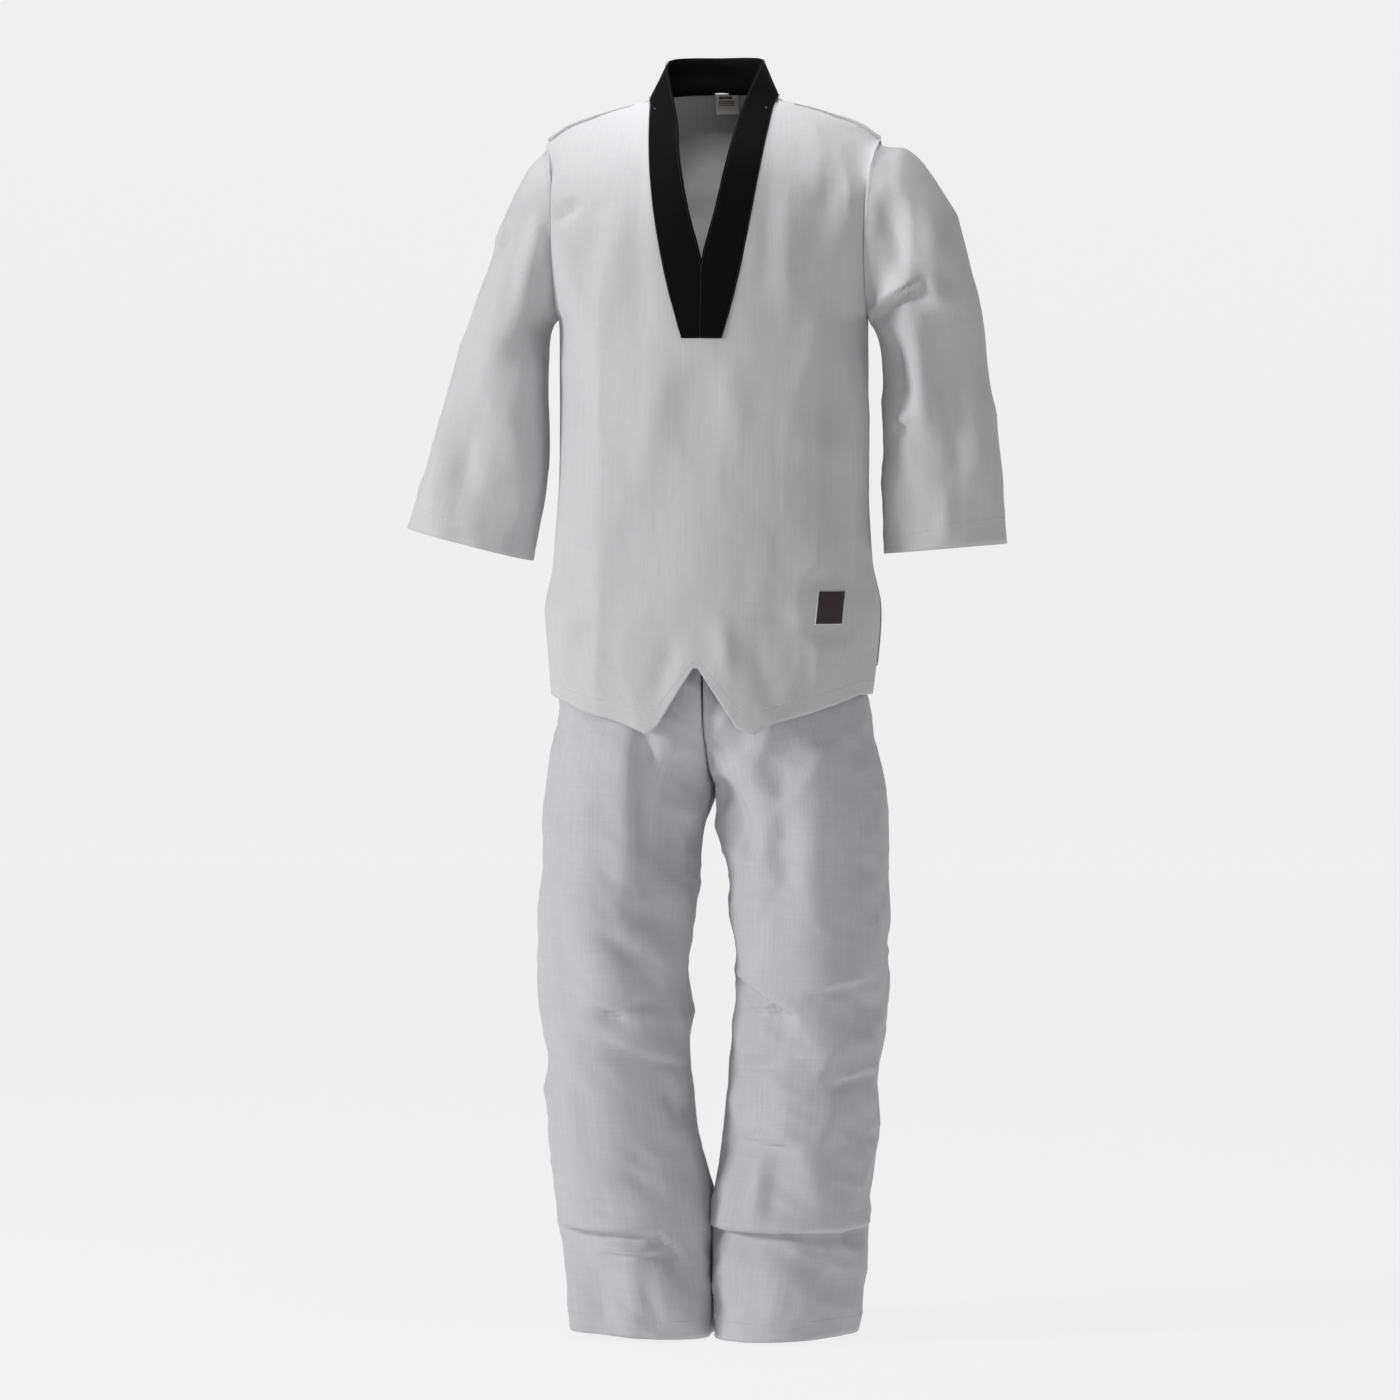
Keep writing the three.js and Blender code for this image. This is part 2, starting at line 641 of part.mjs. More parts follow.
for (const [side, sign] of sides) {
  for (const [face, way] of faces) {
    const hip = (u, v) => {
      const z = hipTop + (CROTCH_Z - hipTop) * v ** 0.85;
      const degrees = EDGE_DEG + (sweepOf(z) - 2 * EDGE_DEG) * u;
      return trouserPoint(sign, way * degrees, z);
    };
    add(`${side}_hip_${face}`, shell(hip, { columns: 7, rows: 7 }), "canvas");
    const leg = (u, v) => {
      const degrees = way * (EDGE_DEG + (180 - 2 * EDGE_DEG) * u);
      const top = legTop(ringY(degrees)) - SEAM_GAP;
      return trouserPoint(sign, degrees, top + (LEG_BOTTOM - top) * v);
    };
    add(`${side}_leg_${face}`, shell(leg, { columns: 10, rows: 9, middle: legMiddle(sign) }), "canvas");
  }
  const fold = (u, v) => {
    const degrees = 360 * u;
    const low = legTop(ringY(degrees));
    return trouserPoint(sign, degrees, FOLD_TOP + (low - FOLD_TOP) * v);
  };
  add(`${side}_hip_fold`, shell(fold, { columns: 20, rows: 2, closed: true, middle: legMiddle(sign) }), "canvas");
  const hem = (u, v) => trouserPoint(sign, 360 * u, LEG_BOTTOM + 2 + 30 * v);
  add(`${side}_hem_facing`, shell(hem, { columns: 20, rows: 1, closed: true, middle: legMiddle(sign), ...facing }), "canvas");
}

export default body;
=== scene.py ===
"""The looks of a martial arts uniform: a white canvas jacket with a black collar band, over loose white trousers.

Lengths inside this file are millimetres in the part's own frame (+X the wearer's left, -Y the front, +Z up);
meshes are made in metres.
"""
import math

import bpy
import numpy as np
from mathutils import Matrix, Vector


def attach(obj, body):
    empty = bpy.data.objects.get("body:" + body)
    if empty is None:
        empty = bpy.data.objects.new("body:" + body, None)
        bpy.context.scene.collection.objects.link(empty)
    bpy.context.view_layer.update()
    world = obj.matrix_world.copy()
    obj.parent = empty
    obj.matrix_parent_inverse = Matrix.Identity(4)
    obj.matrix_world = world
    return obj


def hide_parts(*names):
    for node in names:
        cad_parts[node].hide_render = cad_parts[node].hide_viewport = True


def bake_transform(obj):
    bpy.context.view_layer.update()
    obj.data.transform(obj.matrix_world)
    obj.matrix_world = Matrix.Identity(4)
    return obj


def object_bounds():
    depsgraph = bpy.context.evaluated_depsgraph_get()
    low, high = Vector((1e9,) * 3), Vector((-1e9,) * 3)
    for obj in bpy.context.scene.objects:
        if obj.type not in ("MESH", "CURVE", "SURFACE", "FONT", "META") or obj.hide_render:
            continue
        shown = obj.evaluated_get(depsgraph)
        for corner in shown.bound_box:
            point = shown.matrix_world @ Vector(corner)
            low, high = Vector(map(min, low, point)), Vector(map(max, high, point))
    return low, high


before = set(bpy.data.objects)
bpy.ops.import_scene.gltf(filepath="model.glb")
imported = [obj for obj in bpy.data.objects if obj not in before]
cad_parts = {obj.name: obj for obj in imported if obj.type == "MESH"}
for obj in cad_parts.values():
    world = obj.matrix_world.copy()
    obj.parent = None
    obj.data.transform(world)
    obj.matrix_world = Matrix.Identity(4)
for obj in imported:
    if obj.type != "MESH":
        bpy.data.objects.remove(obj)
cad_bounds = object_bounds()
MM = 0.001

# ---------------------------------------------------------------- camera

VIEW_AZIMUTH = math.radians(6.8)
VIEW_ELEVATION = math.radians(2.0)
VIEW_DISTANCE = 7.0
VIEW_TARGET = Vector((-0.017, 0.0, -0.731))
VIEW_HEIGHT = 1.712  # metres of the picture's height at the target


def make_camera():
    data = bpy.data.cameras.new("camera")
    camera = bpy.data.objects.new("camera", data)
    away = Vector((
        math.sin(VIEW_AZIMUTH) * math.cos(VIEW_ELEVATION),
        -math.cos(VIEW_AZIMUTH) * math.cos(VIEW_ELEVATION),
        math.sin(VIEW_ELEVATION),
    ))
    camera.location = VIEW_TARGET + away * VIEW_DISTANCE
    camera.rotation_euler = (-away).to_track_quat("-Z", "Y").to_euler()
    data.angle = 2 * math.atan(VIEW_HEIGHT / 2 / VIEW_DISTANCE)
    bpy.context.collection.objects.link(camera)
    bpy.context.scene.camera = camera


make_camera()

# ---------------------------------------------------------------- small maths


def profile(pairs):
    """A smooth curve through (place, value) pairs, lowest place first."""
    p, v = np.array(pairs, float).T
    slope = np.empty(len(p))
    slope[1:-1] = (v[2:] - v[:-2]) / (p[2:] - p[:-2])
    slope[0] = (v[1] - v[0]) / (p[1] - p[0])
    slope[-1] = (v[-1] - v[-2]) / (p[-1] - p[-2])

    def at(x):
        x = np.clip(np.asarray(x, float), p[0], p[-1])
        i = np.clip(np.searchsorted(p, x, side="right") - 1, 0, len(p) - 2)
        h = p[i + 1] - p[i]
        t = (x - p[i]) / h
        bend = (2 * t**3 - 3 * t**2 + 1) * v[i] + (t**3 - 2 * t**2 + t) * h * slope[i]
        return bend + (3 * t**2 - 2 * t**3) * v[i + 1] + (t**3 - t**2) * h * slope[i + 1]

    return at


def smooth(x, low, high):
    t = np.clip((x - low) / (high - low), 0, 1)
    return t * t * (3 - 2 * t)


def lattice(ix, iy, iz, seed):
    n = (ix * 374761393 + iy * 668265263 + iz * 2147483647 + seed * 1274126177) & 0xFFFFFFFF
    n = ((n ^ (n >> 13)) * 1274126177) & 0xFFFFFFFF
    return ((n ^ (n >> 16)) & 0xFFFF) / 32767.5 - 1


def noise(points, size, seed):
    """Smooth seeded noise between -1 and 1. size is the grain in millimetres along X, Y and Z."""
    q = points / np.array(size, float)
    base = np.floor(q).astype(np.int64)
    f = q - base
    f = f * f * (3 - 2 * f)
    total = 0
    for dx in (0, 1):
        for dy in (0, 1):
            for dz in (0, 1):
                weight = 1
                for axis, d in enumerate((dx, dy, dz)):
                    weight = weight * (f[..., axis] if d else 1 - f[..., axis])
                corner = lattice(base[..., 0] + dx, base[..., 1] + dy, base[..., 2] + dz, seed)
                total = total + weight * corner
    return total


def ridged(points, size, seed):
    """Noise with sharp crests, as crumpled canvas has."""
    return 1 - 2 * np.abs(noise(points, size, seed))


def curve(points):
    """The centripetal Catmull-Rom curve that the CAD collar follows; takes shares from 0 to 1."""
    p = np.array(points, float)

    def at(t):
        t = np.clip(np.asarray(t, float), 0, 1) * (len(p) - 1)
        i = np.minimum(t.astype(int), len(p) - 2)
        w = (t - i)[..., None]
        p1, p2 = p[i], p[i + 1]
        p0 = np.where((i > 0)[..., None], p[np.maximum(i - 1, 0)], 2 * p[0] - p[1])
        p3 = np.where((i < len(p) - 2)[..., None], p[np.minimum(i + 2, len(p) - 1)], 2 * p[-1] - p[-2])

        def gap(a, b):
            return np.maximum(np.sum((a - b) ** 2, -1, keepdims=True) ** 0.25, 1e-4)

        d0, d1, d2 = gap(p0, p1), gap(p1, p2), gap(p2, p3)
        t1 = ((p1 - p0) / d0 - (p2 - p0) / (d0 + d1) + (p2 - p1) / d1) * d1
        t2 = ((p2 - p1) / d1 - (p3 - p1) / (d1 + d2) + (p3 - p2) / d2) * d1
        return p1 + t1 * w + (-3 * p1 + 3 * p2 - 2 * t1 - t2) * w**2 + (2 * p1 - 2 * p2 + t1 + t2) * w**3

    return at


# ---------------------------------------------------------------- sheets of cloth


class Sheet:
    """A grid of points on a cloth piece, row by row, with its outward normals and its flat cloth coordinates."""

    def __init__(self, points, outward, closed=False):
        self.points = points
        self.outward = outward
        self.closed = closed
        self.update()
        across = self.points if not closed else np.concatenate([self.points, self.points[:, :1]], 1)
        step_u = np.linalg.norm(np.diff(across, axis=1), axis=2)
        step_v = np.linalg.norm(np.diff(self.points, axis=0), axis=2)
        u = np.concatenate([np.zeros((len(points), 1)), np.cumsum(step_u, 1)], 1)[:, : points.shape[1]]
        self.cloth_u = u - u[:, u.shape[1] // 2 : u.shape[1] // 2 + 1]
        self.cloth_v = np.concatenate([np.zeros((1, points.shape[1])), np.cumsum(step_v, 0)], 0)

    def update(self):
        p = self.points
        if self.closed:
            du = np.roll(p, -1, 1) - np.roll(p, 1, 1)
        else:
            du = np.gradient(p, axis=1)
        dv = np.gradient(p, axis=0)
        n = np.cross(du, dv)
        n /= np.maximum(np.linalg.norm(n, axis=2, keepdims=True), 1e-9)
        away = np.sum(n * (p - self.outward(p)), 2)
        self.normals = n * (1 if away.sum() > 0 else -1)

    def push(self, amount):
        self.points = self.points + self.normals * amount[..., None]
        self.update()

    def at(self, row, column, lift=0.0):
        """Points and normals at fractional rows and columns."""
        rows, columns = self.points.shape[:2]
        row = np.clip(row, 0, rows - 1.001)
        column = column % columns if self.closed else np.clip(column, 0, columns - 1.001)
        i, j = row.astype(int), column.astype(int)
        a, b = (row - i)[..., None], (column - j)[..., None]
        k = (j + 1) % columns
        out = []
        for grid in (self.points, self.normals):
            low = grid[i, j] * (1 - b) + grid[i, k] * b
            high = grid[i + 1, j] * (1 - b) + grid[i + 1, k] * b
            out.append(low * (1 - a) + high * a)
        normal = out[1] / np.linalg.norm(out[1], axis=-1, keepdims=True)
        return out[0] + normal * lift, normal


def crease(points, start, end, height, width, kind="ridge", fade=0.25):
    """A fold along a line seen from the front: its height in millimetres at each point.

    ridge is round, pressed is sharp, and step stands proud above the line and falls back below it.
    """
    a, b = np.array(start, float), np.array(end, float)
    along = b - a
    length = np.linalg.norm(along)
    along /= length
    rel = points[..., [0, 2]] - a
    t = rel @ along / length
    side = rel @ np.array([-along[1], along[0]])
    if along[0] < 0:
        side = -side
    ends = smooth(t, -0.08, fade) * (1 - smooth(t, 1 - fade, 1.08))
    if kind == "ridge":
        shape = np.exp(-((side / width) ** 2))
    elif kind == "pressed":
        shape = np.exp(-np.abs(side) / width)
    else:
        shape = np.tanh(side / 2.2) * np.exp(-np.abs(side) / width)
    return height * ends * shape


def creases(points, facing, lines):
    """All folds of one face of a piece. facing is 1 on that face, and falls to 0 on the other."""
    total = np.zeros(points.shape[:2])
    for line in lines:
        total += crease(points, *line)
    return total * facing


def ordered_faces(rows, columns, closed, flip, keep=None):
    last = columns if closed else columns - 1
    i, j = np.meshgrid(np.arange(rows - 1), np.arange(last), indexing="ij")
    k = (j + 1) % columns
    quads = np.stack([i * columns + j, i * columns + k, (i + 1) * columns + k, (i + 1) * columns + j], -1)
    if flip:
        quads = quads[..., ::-1]
    return quads[keep] if keep is not None else quads.reshape(-1, 4)


def mesh_object(name, points, faces, material, cloth=None):
    mesh = bpy.data.meshes.new(name)
    used = np.unique(faces)
    index = np.full(len(points), -1)
    index[used] = np.arange(len(used))
    mesh.from_pydata((points[used] * MM).tolist(), [], index[faces].tolist())
    if cloth is not None:
        layer = mesh.attributes.new("cloth", "FLOAT_VECTOR", "POINT")
        flat = np.zeros((len(used), 3), np.float32)
        flat[:, :2] = cloth[used] * MM
        layer.data.foreach_set("vector", flat.ravel())
    mesh.shade_smooth()
    obj = bpy.data.objects.new(name, mesh)
    bpy.context.collection.objects.link(obj)
    mesh.materials.append(material)
    return obj


def apply_modifiers(obj):
    graph = bpy.context.evaluated_depsgraph_get()
    done = bpy.data.meshes.new_from_object(obj.evaluated_get(graph), depsgraph=graph)
    obj.modifiers.clear()
    old = obj.data
    obj.data = done
    bpy.data.meshes.remove(old)


def thicken(obj, thickness):
    solid = obj.modifiers.new("cloth", "SOLIDIFY")
    solid.thickness = thickness * MM
    solid.offset = -1
    solid.use_even_offset = False
    apply_modifiers(obj)


CLOTH = 1.3
HEM_ROWS = 5
HEM_GAP = 2.9  # how far inside the outer layer a turned-up hem's own surface lies


def cloth_object(name, sheet, material, hem_rows=0, keep=None):
    """The sheet as a mesh, its first rows turned up inside it as a hem."""
    points, u, v = sheet.points, sheet.cloth_u, sheet.cloth_v
    if hem_rows:
        gap = np.full(hem_rows, HEM_GAP)
        gap[-1] = HEM_GAP * 0.82
        turned = points[hem_rows:0:-1] - sheet.normals[hem_rows:0:-1] * gap[:, None, None]
        foot = points[:1] - sheet.normals[:1] * HEM_GAP * 0.5
        foot[..., 2] += 0.2
        points = np.concatenate([turned, foot, points])
        u = np.concatenate([u[hem_rows:0:-1], u[:1], u])
        v = np.concatenate([-v[hem_rows:0:-1], v[:1], v])
        if keep is not None:
            keep = np.concatenate([keep[hem_rows - 1 :: -1], keep[:1], keep[:1], keep])[: len(points) - 1]
    rows, columns = points.shape[:2]
    first = (hem_rows + 1) * columns if hem_rows else 0
    flat = points.reshape(-1, 3)
    quad = flat[[first, first + 1, first + columns]]
    normal = np.cross(quad[1] - quad[0], quad[2] - quad[0])
    flip = normal @ sheet.normals[0, 0] < 0
    faces = ordered_faces(rows, columns, sheet.closed, flip, keep)
    cloth = np.stack([u.ravel(), v.ravel()], 1)
    obj = mesh_object(name, flat, faces, material, cloth)
    thicken(obj, CLOTH)
    return obj


STITCH = (2.7, 0.55, 0.42)  # a stitch's length, width and height
STITCH_PITCH = 3.6
STITCH_FACES = [
    (0, 1, 3, 2), (2, 3, 5, 4), (4, 5, 7, 6), (1, 0, 8), (6, 7, 9), (0, 2, 4, 6, 9, 8), (7, 5, 3, 1, 8, 9),
]


def stitches(name, runs, material):
    """Rows of small raised stitches. Each run is (points, normals) along one seam line."""
    vertices, faces = [], []
    for points, normals in runs:
        step = np.linalg.norm(np.diff(points, axis=0), axis=1)
        reach = np.concatenate([[0], np.cumsum(step)])
        places = np.arange(STITCH_PITCH / 2, reach[-1], STITCH_PITCH)
        if not len(places):
            continue
        at = np.stack([np.interp(places, reach, points[:, k]) for k in range(3)], 1)
        normal = np.stack([np.interp(places, reach, normals[:, k]) for k in range(3)], 1)
        ahead = np.stack([np.interp(places + 0.5, reach, points[:, k]) for k in range(3)], 1)
        behind = np.stack([np.interp(places - 0.5, reach, points[:, k]) for k in range(3)], 1)
        along = ahead - behind
        along /= np.maximum(np.linalg.norm(along, axis=1, keepdims=True), 1e-6)
        side = np.cross(normal, along)
        length, width, height = STITCH
        corners = []
        for share, top in ((-0.5, -0.3), (-0.25, 1), (0.25, 1), (0.5, -0.3)):
            for way in (-0.5, 0.5):
                corners.append(at + along * length * share + side * width * way + normal * height * top)
        base = at - normal * height
        corners += [base - along * length * 0.4, base + along * length * 0.4]
        block = np.stack(corners, 1)
        start = sum(len(chunk) for chunk in vertices)
        vertices.append(block.reshape(-1, 3))
        for n in range(len(block)):
            faces += [tuple(start + n * 10 + c for c in face) for face in STITCH_FACES]
    mesh = bpy.data.meshes.new(name)
    mesh.from_pydata((np.concatenate(vertices) * MM).tolist(), [], faces)
    mesh.shade_smooth()
    mesh.materials.append(material)
    obj = bpy.data.objects.new(name, mesh)
    bpy.context.collection.objects.link(obj)
    return obj


# ---------------------------------------------------------------- materials


def canvas(name, light, shade, weave=1.5, bump=0.35, sheen=0.12, gloss=0.22):
    """Woven cotton: crossed threads with slubs, over a faint uneven tone."""
    material = bpy.data.materials.new(name)
    material.use_nodes = True
    nodes, wires = material.node_tree.nodes, material.node_tree.links
    surface = nodes["Principled BSDF"]
    surface.inputs["Roughness"].default_value = 0.92
    surface.inputs["Sheen Weight"].default_value = sheen
    surface.inputs["Sheen Roughness"].default_value = 0.6
    surface.inputs["Specular IOR Level"].default_value = gloss

    where = nodes.new("ShaderNodeAttribute")
    where.attribute_name = "cloth"

    def scaled(scale):
        mapping = nodes.new("ShaderNodeMapping")
        mapping.inputs["Scale"].default_value = scale
        wires.new(where.outputs["Vector"], mapping.inputs["Vector"])
        return mapping.outputs["Vector"]

    def grain(scale, detail):
        texture = nodes.new("ShaderNodeTexNoise")
        texture.inputs["Scale"].default_value = 1.0
        texture.inputs["Detail"].default_value = detail
        wires.new(scaled(scale), texture.inputs["Vector"])
        return texture.outputs["Fac"]

    def threads(direction):
        wave = nodes.new("ShaderNodeTexWave")
        wave.bands_direction = direction
        wave.inputs["Scale"].default_value = 314.0 / weave
        wave.inputs["Distortion"].default_value = 0.6
        wave.inputs["Detail"].default_value = 1.0
        wires.new(where.outputs["Vector"], wave.inputs["Vector"])
        return wave.outputs["Fac"]

    def mixed(a, b, factor, blend="MIX"):
        mix = nodes.new("ShaderNodeMix")
        mix.data_type = "FLOAT"
        mix.inputs["Factor"].default_value = factor
        wires.new(a, mix.inputs["A"])
        wires.new(b, mix.inputs["B"])
        return mix.outputs["Result"]

    slub_warp = grain((430.0, 9.0, 1.0), 3.0)
    slub_weft = grain((11.0, 520.0, 1.0), 3.0)
    slubs = mixed(slub_warp, slub_weft, 0.4)
    weaving = mixed(threads("X"), threads("Y"), 0.5)
    height = mixed(mixed(weaving, slubs, 0.6), grain((42.0, 30.0, 1.0), 4.0), 0.55)

    tone = mixed(grain((9.0, 6.0, 1.0), 3.0), slubs, 0.62)
    ramp = nodes.new("ShaderNodeValToRGB")
    ramp.color_ramp.elements[0].position = 0.32
    ramp.color_ramp.elements[0].color = (*shade, 1)
    ramp.color_ramp.elements[1].position = 0.66
    ramp.color_ramp.elements[1].color = (*light, 1)
    wires.new(tone, ramp.inputs["Fac"])
    wires.new(ramp.outputs["Color"], surface.inputs["Base Color"])

    relief = nodes.new("ShaderNodeBump")
    relief.inputs["Strength"].default_value = bump
    relief.inputs["Distance"].default_value = 0.0016
    wires.new(height, relief.inputs["Height"])
    wires.new(relief.outputs["Normal"], surface.inputs["Normal"])
    return material


def plain(name, color, rough=0.8, grain_scale=900.0, vary=0.12):
    """Thread, tape or woven label: a colour with fine grain in its tone and relief."""
    material = bpy.data.materials.new(name)
    material.use_nodes = True
    nodes, wires = material.node_tree.nodes, material.node_tree.links
    surface = nodes["Principled BSDF"]
    surface.inputs["Roughness"].default_value = rough
    place = nodes.new("ShaderNodeTexCoord")
    texture = nodes.new("ShaderNodeTexNoise")
    texture.inputs["Scale"].default_value = grain_scale
    wires.new(place.outputs["Object"], texture.inputs["Vector"])
    ramp = nodes.new("ShaderNodeValToRGB")
    ramp.color_ramp.elements[0].color = (*[c * (1 - vary) for c in color], 1)
    ramp.color_ramp.elements[1].color = (*[min(c * (1 + vary), 1) for c in color], 1)
    wires.new(texture.outputs["Fac"], ramp.inputs["Fac"])
    wires.new(ramp.outputs["Color"], surface.inputs["Base Color"])
    relief = nodes.new("ShaderNodeBump")
    relief.inputs["Strength"].default_value = 0.3
    relief.inputs["Distance"].default_value = 0.0003
    wires.new(texture.outputs["Fac"], relief.inputs["Height"])
    wires.new(relief.outputs["Normal"], surface.inputs["Normal"])
    return material


jacket_canvas = canvas("jacket_canvas", (0.565, 0.56, 0.567), (0.485, 0.48, 0.49))
trouser_canvas = canvas("trouser_canvas", (0.545, 0.545, 0.56), (0.445, 0.445, 0.462), bump=0.45)
collar_cotton = canvas(
    "collar_cotton", (0.0042, 0.0042, 0.0046), (0.0022, 0.0022, 0.0025), bump=0.3, sheen=0.0, gloss=0.08
)
white_thread = plain("white_thread", (0.66, 0.66, 0.67))
black_thread = plain("black_thread", (0.012, 0.012, 0.013))
label_tape = plain("label_tape", (0.72, 0.69, 0.65), rough=0.6, vary=0.05)
label_ink = plain("label_ink", (0.06, 0.055, 0.055), vary=0.2)
patch_weave = plain("patch_weave", (0.036, 0.022, 0.028), grain_scale=1400.0, vary=0.35)
elastic_knit = plain("elastic_knit", (0.75, 0.75, 0.73), vary=0.08)

# ---------------------------------------------------------------- the jacket's form, as in the CAD

NECK_HALF = 75
SHOULDER_HALF = 204
SHOULDER_DROP = 42
ARMPIT_Z = -264
FOLD_Z = -640
NECK_RISE = 60
VENT_TOP = -557
SIDE_SEAM_DEG = 89.85
VENT_DEG = 87

torso_half = profile([
    (-765, 190), (-684, 201), (-616, 205), (-560, 194), (-460, 189), (-200, 190), (-100, 194), (-42, 204),
])
front_depth = profile([(-765, 152), (-640, 146), (-520, 134), (-300, 132), (0, 128)])
back_depth = profile([(-765, 140), (-640, 132), (-440, 104), (-200, 118), (0, 115)])


def shoulder_z(x):
    out = np.abs(x) - NECK_HALF
    slope = -SHOULDER_DROP * (np.maximum(out, 0) / (SHOULDER_HALF - NECK_HALF)) ** 1.2
    return np.where(out > 0, slope, NECK_RISE * (1 - (x / NECK_HALF) ** 2))


def armhole_depth(z, most):
    middle = (-SHOULDER_DROP + ARMPIT_Z) / 2
    t = (z - middle) / (middle - ARMPIT_Z)
    return most * np.sqrt(np.clip(1 - t * t, 0, 1))


def torso_y(x, z, depth, edge_most, over, power):
    """Half depth of the torso. The chest runs smoothly into the sleeves above the armpit."""
    share = np.clip(np.abs(x) / torso_half(z), 0, 1)
    soft_edge = edge_most * smooth(z, -350, -160) * smooth(shoulder_z(x) - z, 0, 95)
    edge = soft_edge + (armhole_depth(z, edge_most) - soft_edge) * share**10
    below = np.clip((shoulder_z(x) - z) / over, 0, 1)
    crown = depth(z) * (1 - (1 - below) ** 2) ** power
    roundness = 0.9 + 0.8 * smooth(z, -330, -200)
    return edge + (crown - edge) * (1 - share**2) ** (roundness / 2)


def front_y(x, z):
    return -torso_y(x, z, front_depth, 62, 220, 0.7)


def back_y(x, z):
    return torso_y(x, z, back_depth, 66, 130, 0.5)


front_hem = profile([(0, -684), (56, -760), (110, -751), (160, -735), (190, -722)])
back_hem = profile([(0, -744), (100, -740), (160, -722), (190, -686)])
NOTCH_TOP, NOTCH_FOOT = -684, -760
NOTCH_MIDDLE, NOTCH_RIGHT, NOTCH_LEFT = -5, -52, 44  # across the body; the point on each side of the notch


def front_hem_z(x):
    foot = np.where(x < NOTCH_MIDDLE, NOTCH_RIGHT, NOTCH_LEFT)
    share = (x - NOTCH_MIDDLE) / (foot - NOTCH_MIDDLE)
    beside = front_hem(np.abs(x) + 56 - np.abs(foot))
    return np.where(share < 1, NOTCH_TOP + (NOTCH_FOOT - NOTCH_TOP) * share, beside)


def back_hem_z(x):
    return back_hem(np.abs(x))


def torso_grid(y_of, hem_z, columns=112, tail_rows=22, upper_rows=118):
    share = np.linspace(-1, 1, columns)[None, :]
    guess = np.sin(np.radians(VENT_DEG * share)) * torso_half(ARMPIT_Z)
    hem, top = hem_z(guess), shoulder_z(guess) - 1
    v = np.linspace(0, 1, tail_rows, endpoint=False)[:, None]
    w = np.linspace(0, 1, upper_rows)[:, None]
    z = np.concatenate([hem + (FOLD_Z - hem) * v, top - (top - FOLD_Z) * (1 - w) ** 1.25])
    open_ = smooth(VENT_TOP - z, 0, VENT_TOP - FOLD_Z)
    turn = np.radians((SIDE_SEAM_DEG + (VENT_DEG - SIDE_SEAM_DEG) * open_) * share)
    x = np.sin(turn) * torso_half(z)
    return np.stack([x, y_of(x, z), z], -1)


def soft_tip(points):
    """Rounds the corner where the shoulder line runs into the sleeve."""
    x, z = np.abs(points[..., 0]), points[..., 2]
    points[..., 2] -= 8 * np.exp(-(((x - 207) / 19) ** 2)) * smooth(z, -120, -45)
    return points


def axis_point(p):
    return np.stack([p[..., 0] * 0, p[..., 1] * 0, p[..., 2]], -1)


# ---------------------------------------------------------------- the collar band's edges


def on_chest(x, z):
    return (x, front_y(x, z) + 0.8, z)


seam_points = [
    on_chest(25, -293), on_chest(37, -250), on_chest(48, -203), on_chest(58, -150), on_chest(66, -95),
    on_chest(72, -45), (76, -14, -5), (78, 10, 3), (70, 44, 7), (45, 74, 11), (0, 90, 13),
]
free_points = [
    on_chest(-2.5, -293), on_chest(-2.5, -247), on_chest(-0.5, -201), on_chest(15, -140), on_chest(27, -82),
    (36, -66, -30), (47, -36, 10), (56, -2, 41), (55, 34, 52), (38, 62, 56), (0, 78, 57),
]
BAND_INSET = 2.6  # how far inside the band's seam edge the panels' cut edges lie


def band_inside(mirror):
    """The line inside the band where a panel's cut edge ends, on one side of the body."""
    t = np.linspace(0, 1, 300)
    seam, free = curve(seam_points)(t), curve(free_points)(t)
    across = free - seam
    across /= np.linalg.norm(across, axis=1, keepdims=True)
    return (seam + across * BAND_INSET) * np.array([mirror, 1, 1])


BAND_INSIDE = np.concatenate([band_inside(1), band_inside(-1)[::-1]])


def from_band(points):
    """The distance from each point to the band's inside line, and the nearest place on it."""
    flat = points.reshape(-1, 3)
    d = np.linalg.norm(flat[:, None] - BAND_INSIDE[None], axis=2)
    nearest = np.argmin(d, 1)
    return d.min(1).reshape(points.shape[:-1]), BAND_INSIDE[nearest].reshape(points.shape)


def fit_to_band(sheet, keep, reach=17):
    """Moves a panel's neck edge onto the band's inside line, and its neighbours part of the way."""
    used = np.zeros((2,) + sheet.points.shape[:2], bool)
    for n, cells in enumerate((keep, ~keep)):
        for di in (0, 1):
            for dj in (0, 1):
                used[n, di : di + keep.shape[0], dj : dj + keep.shape[1]] |= cells
    edge = used[0] & used[1]
    far, place = from_band(sheet.points)
    edge &= far < reach
    move = np.where(edge[..., None], place - sheet.points, 0)
    shift = move.copy()
    for _ in range(5):
        spread = (np.roll(shift, 1, 0) + np.roll(shift, -1, 0) + np.roll(shift, 1, 1) + np.roll(shift, -1, 1)) / 4
        shift = np.where(edge[..., None], move, spread * 0.92)
    sheet.points = sheet.points + shift
    sheet.update()


# ---------------------------------------------------------------- front panel

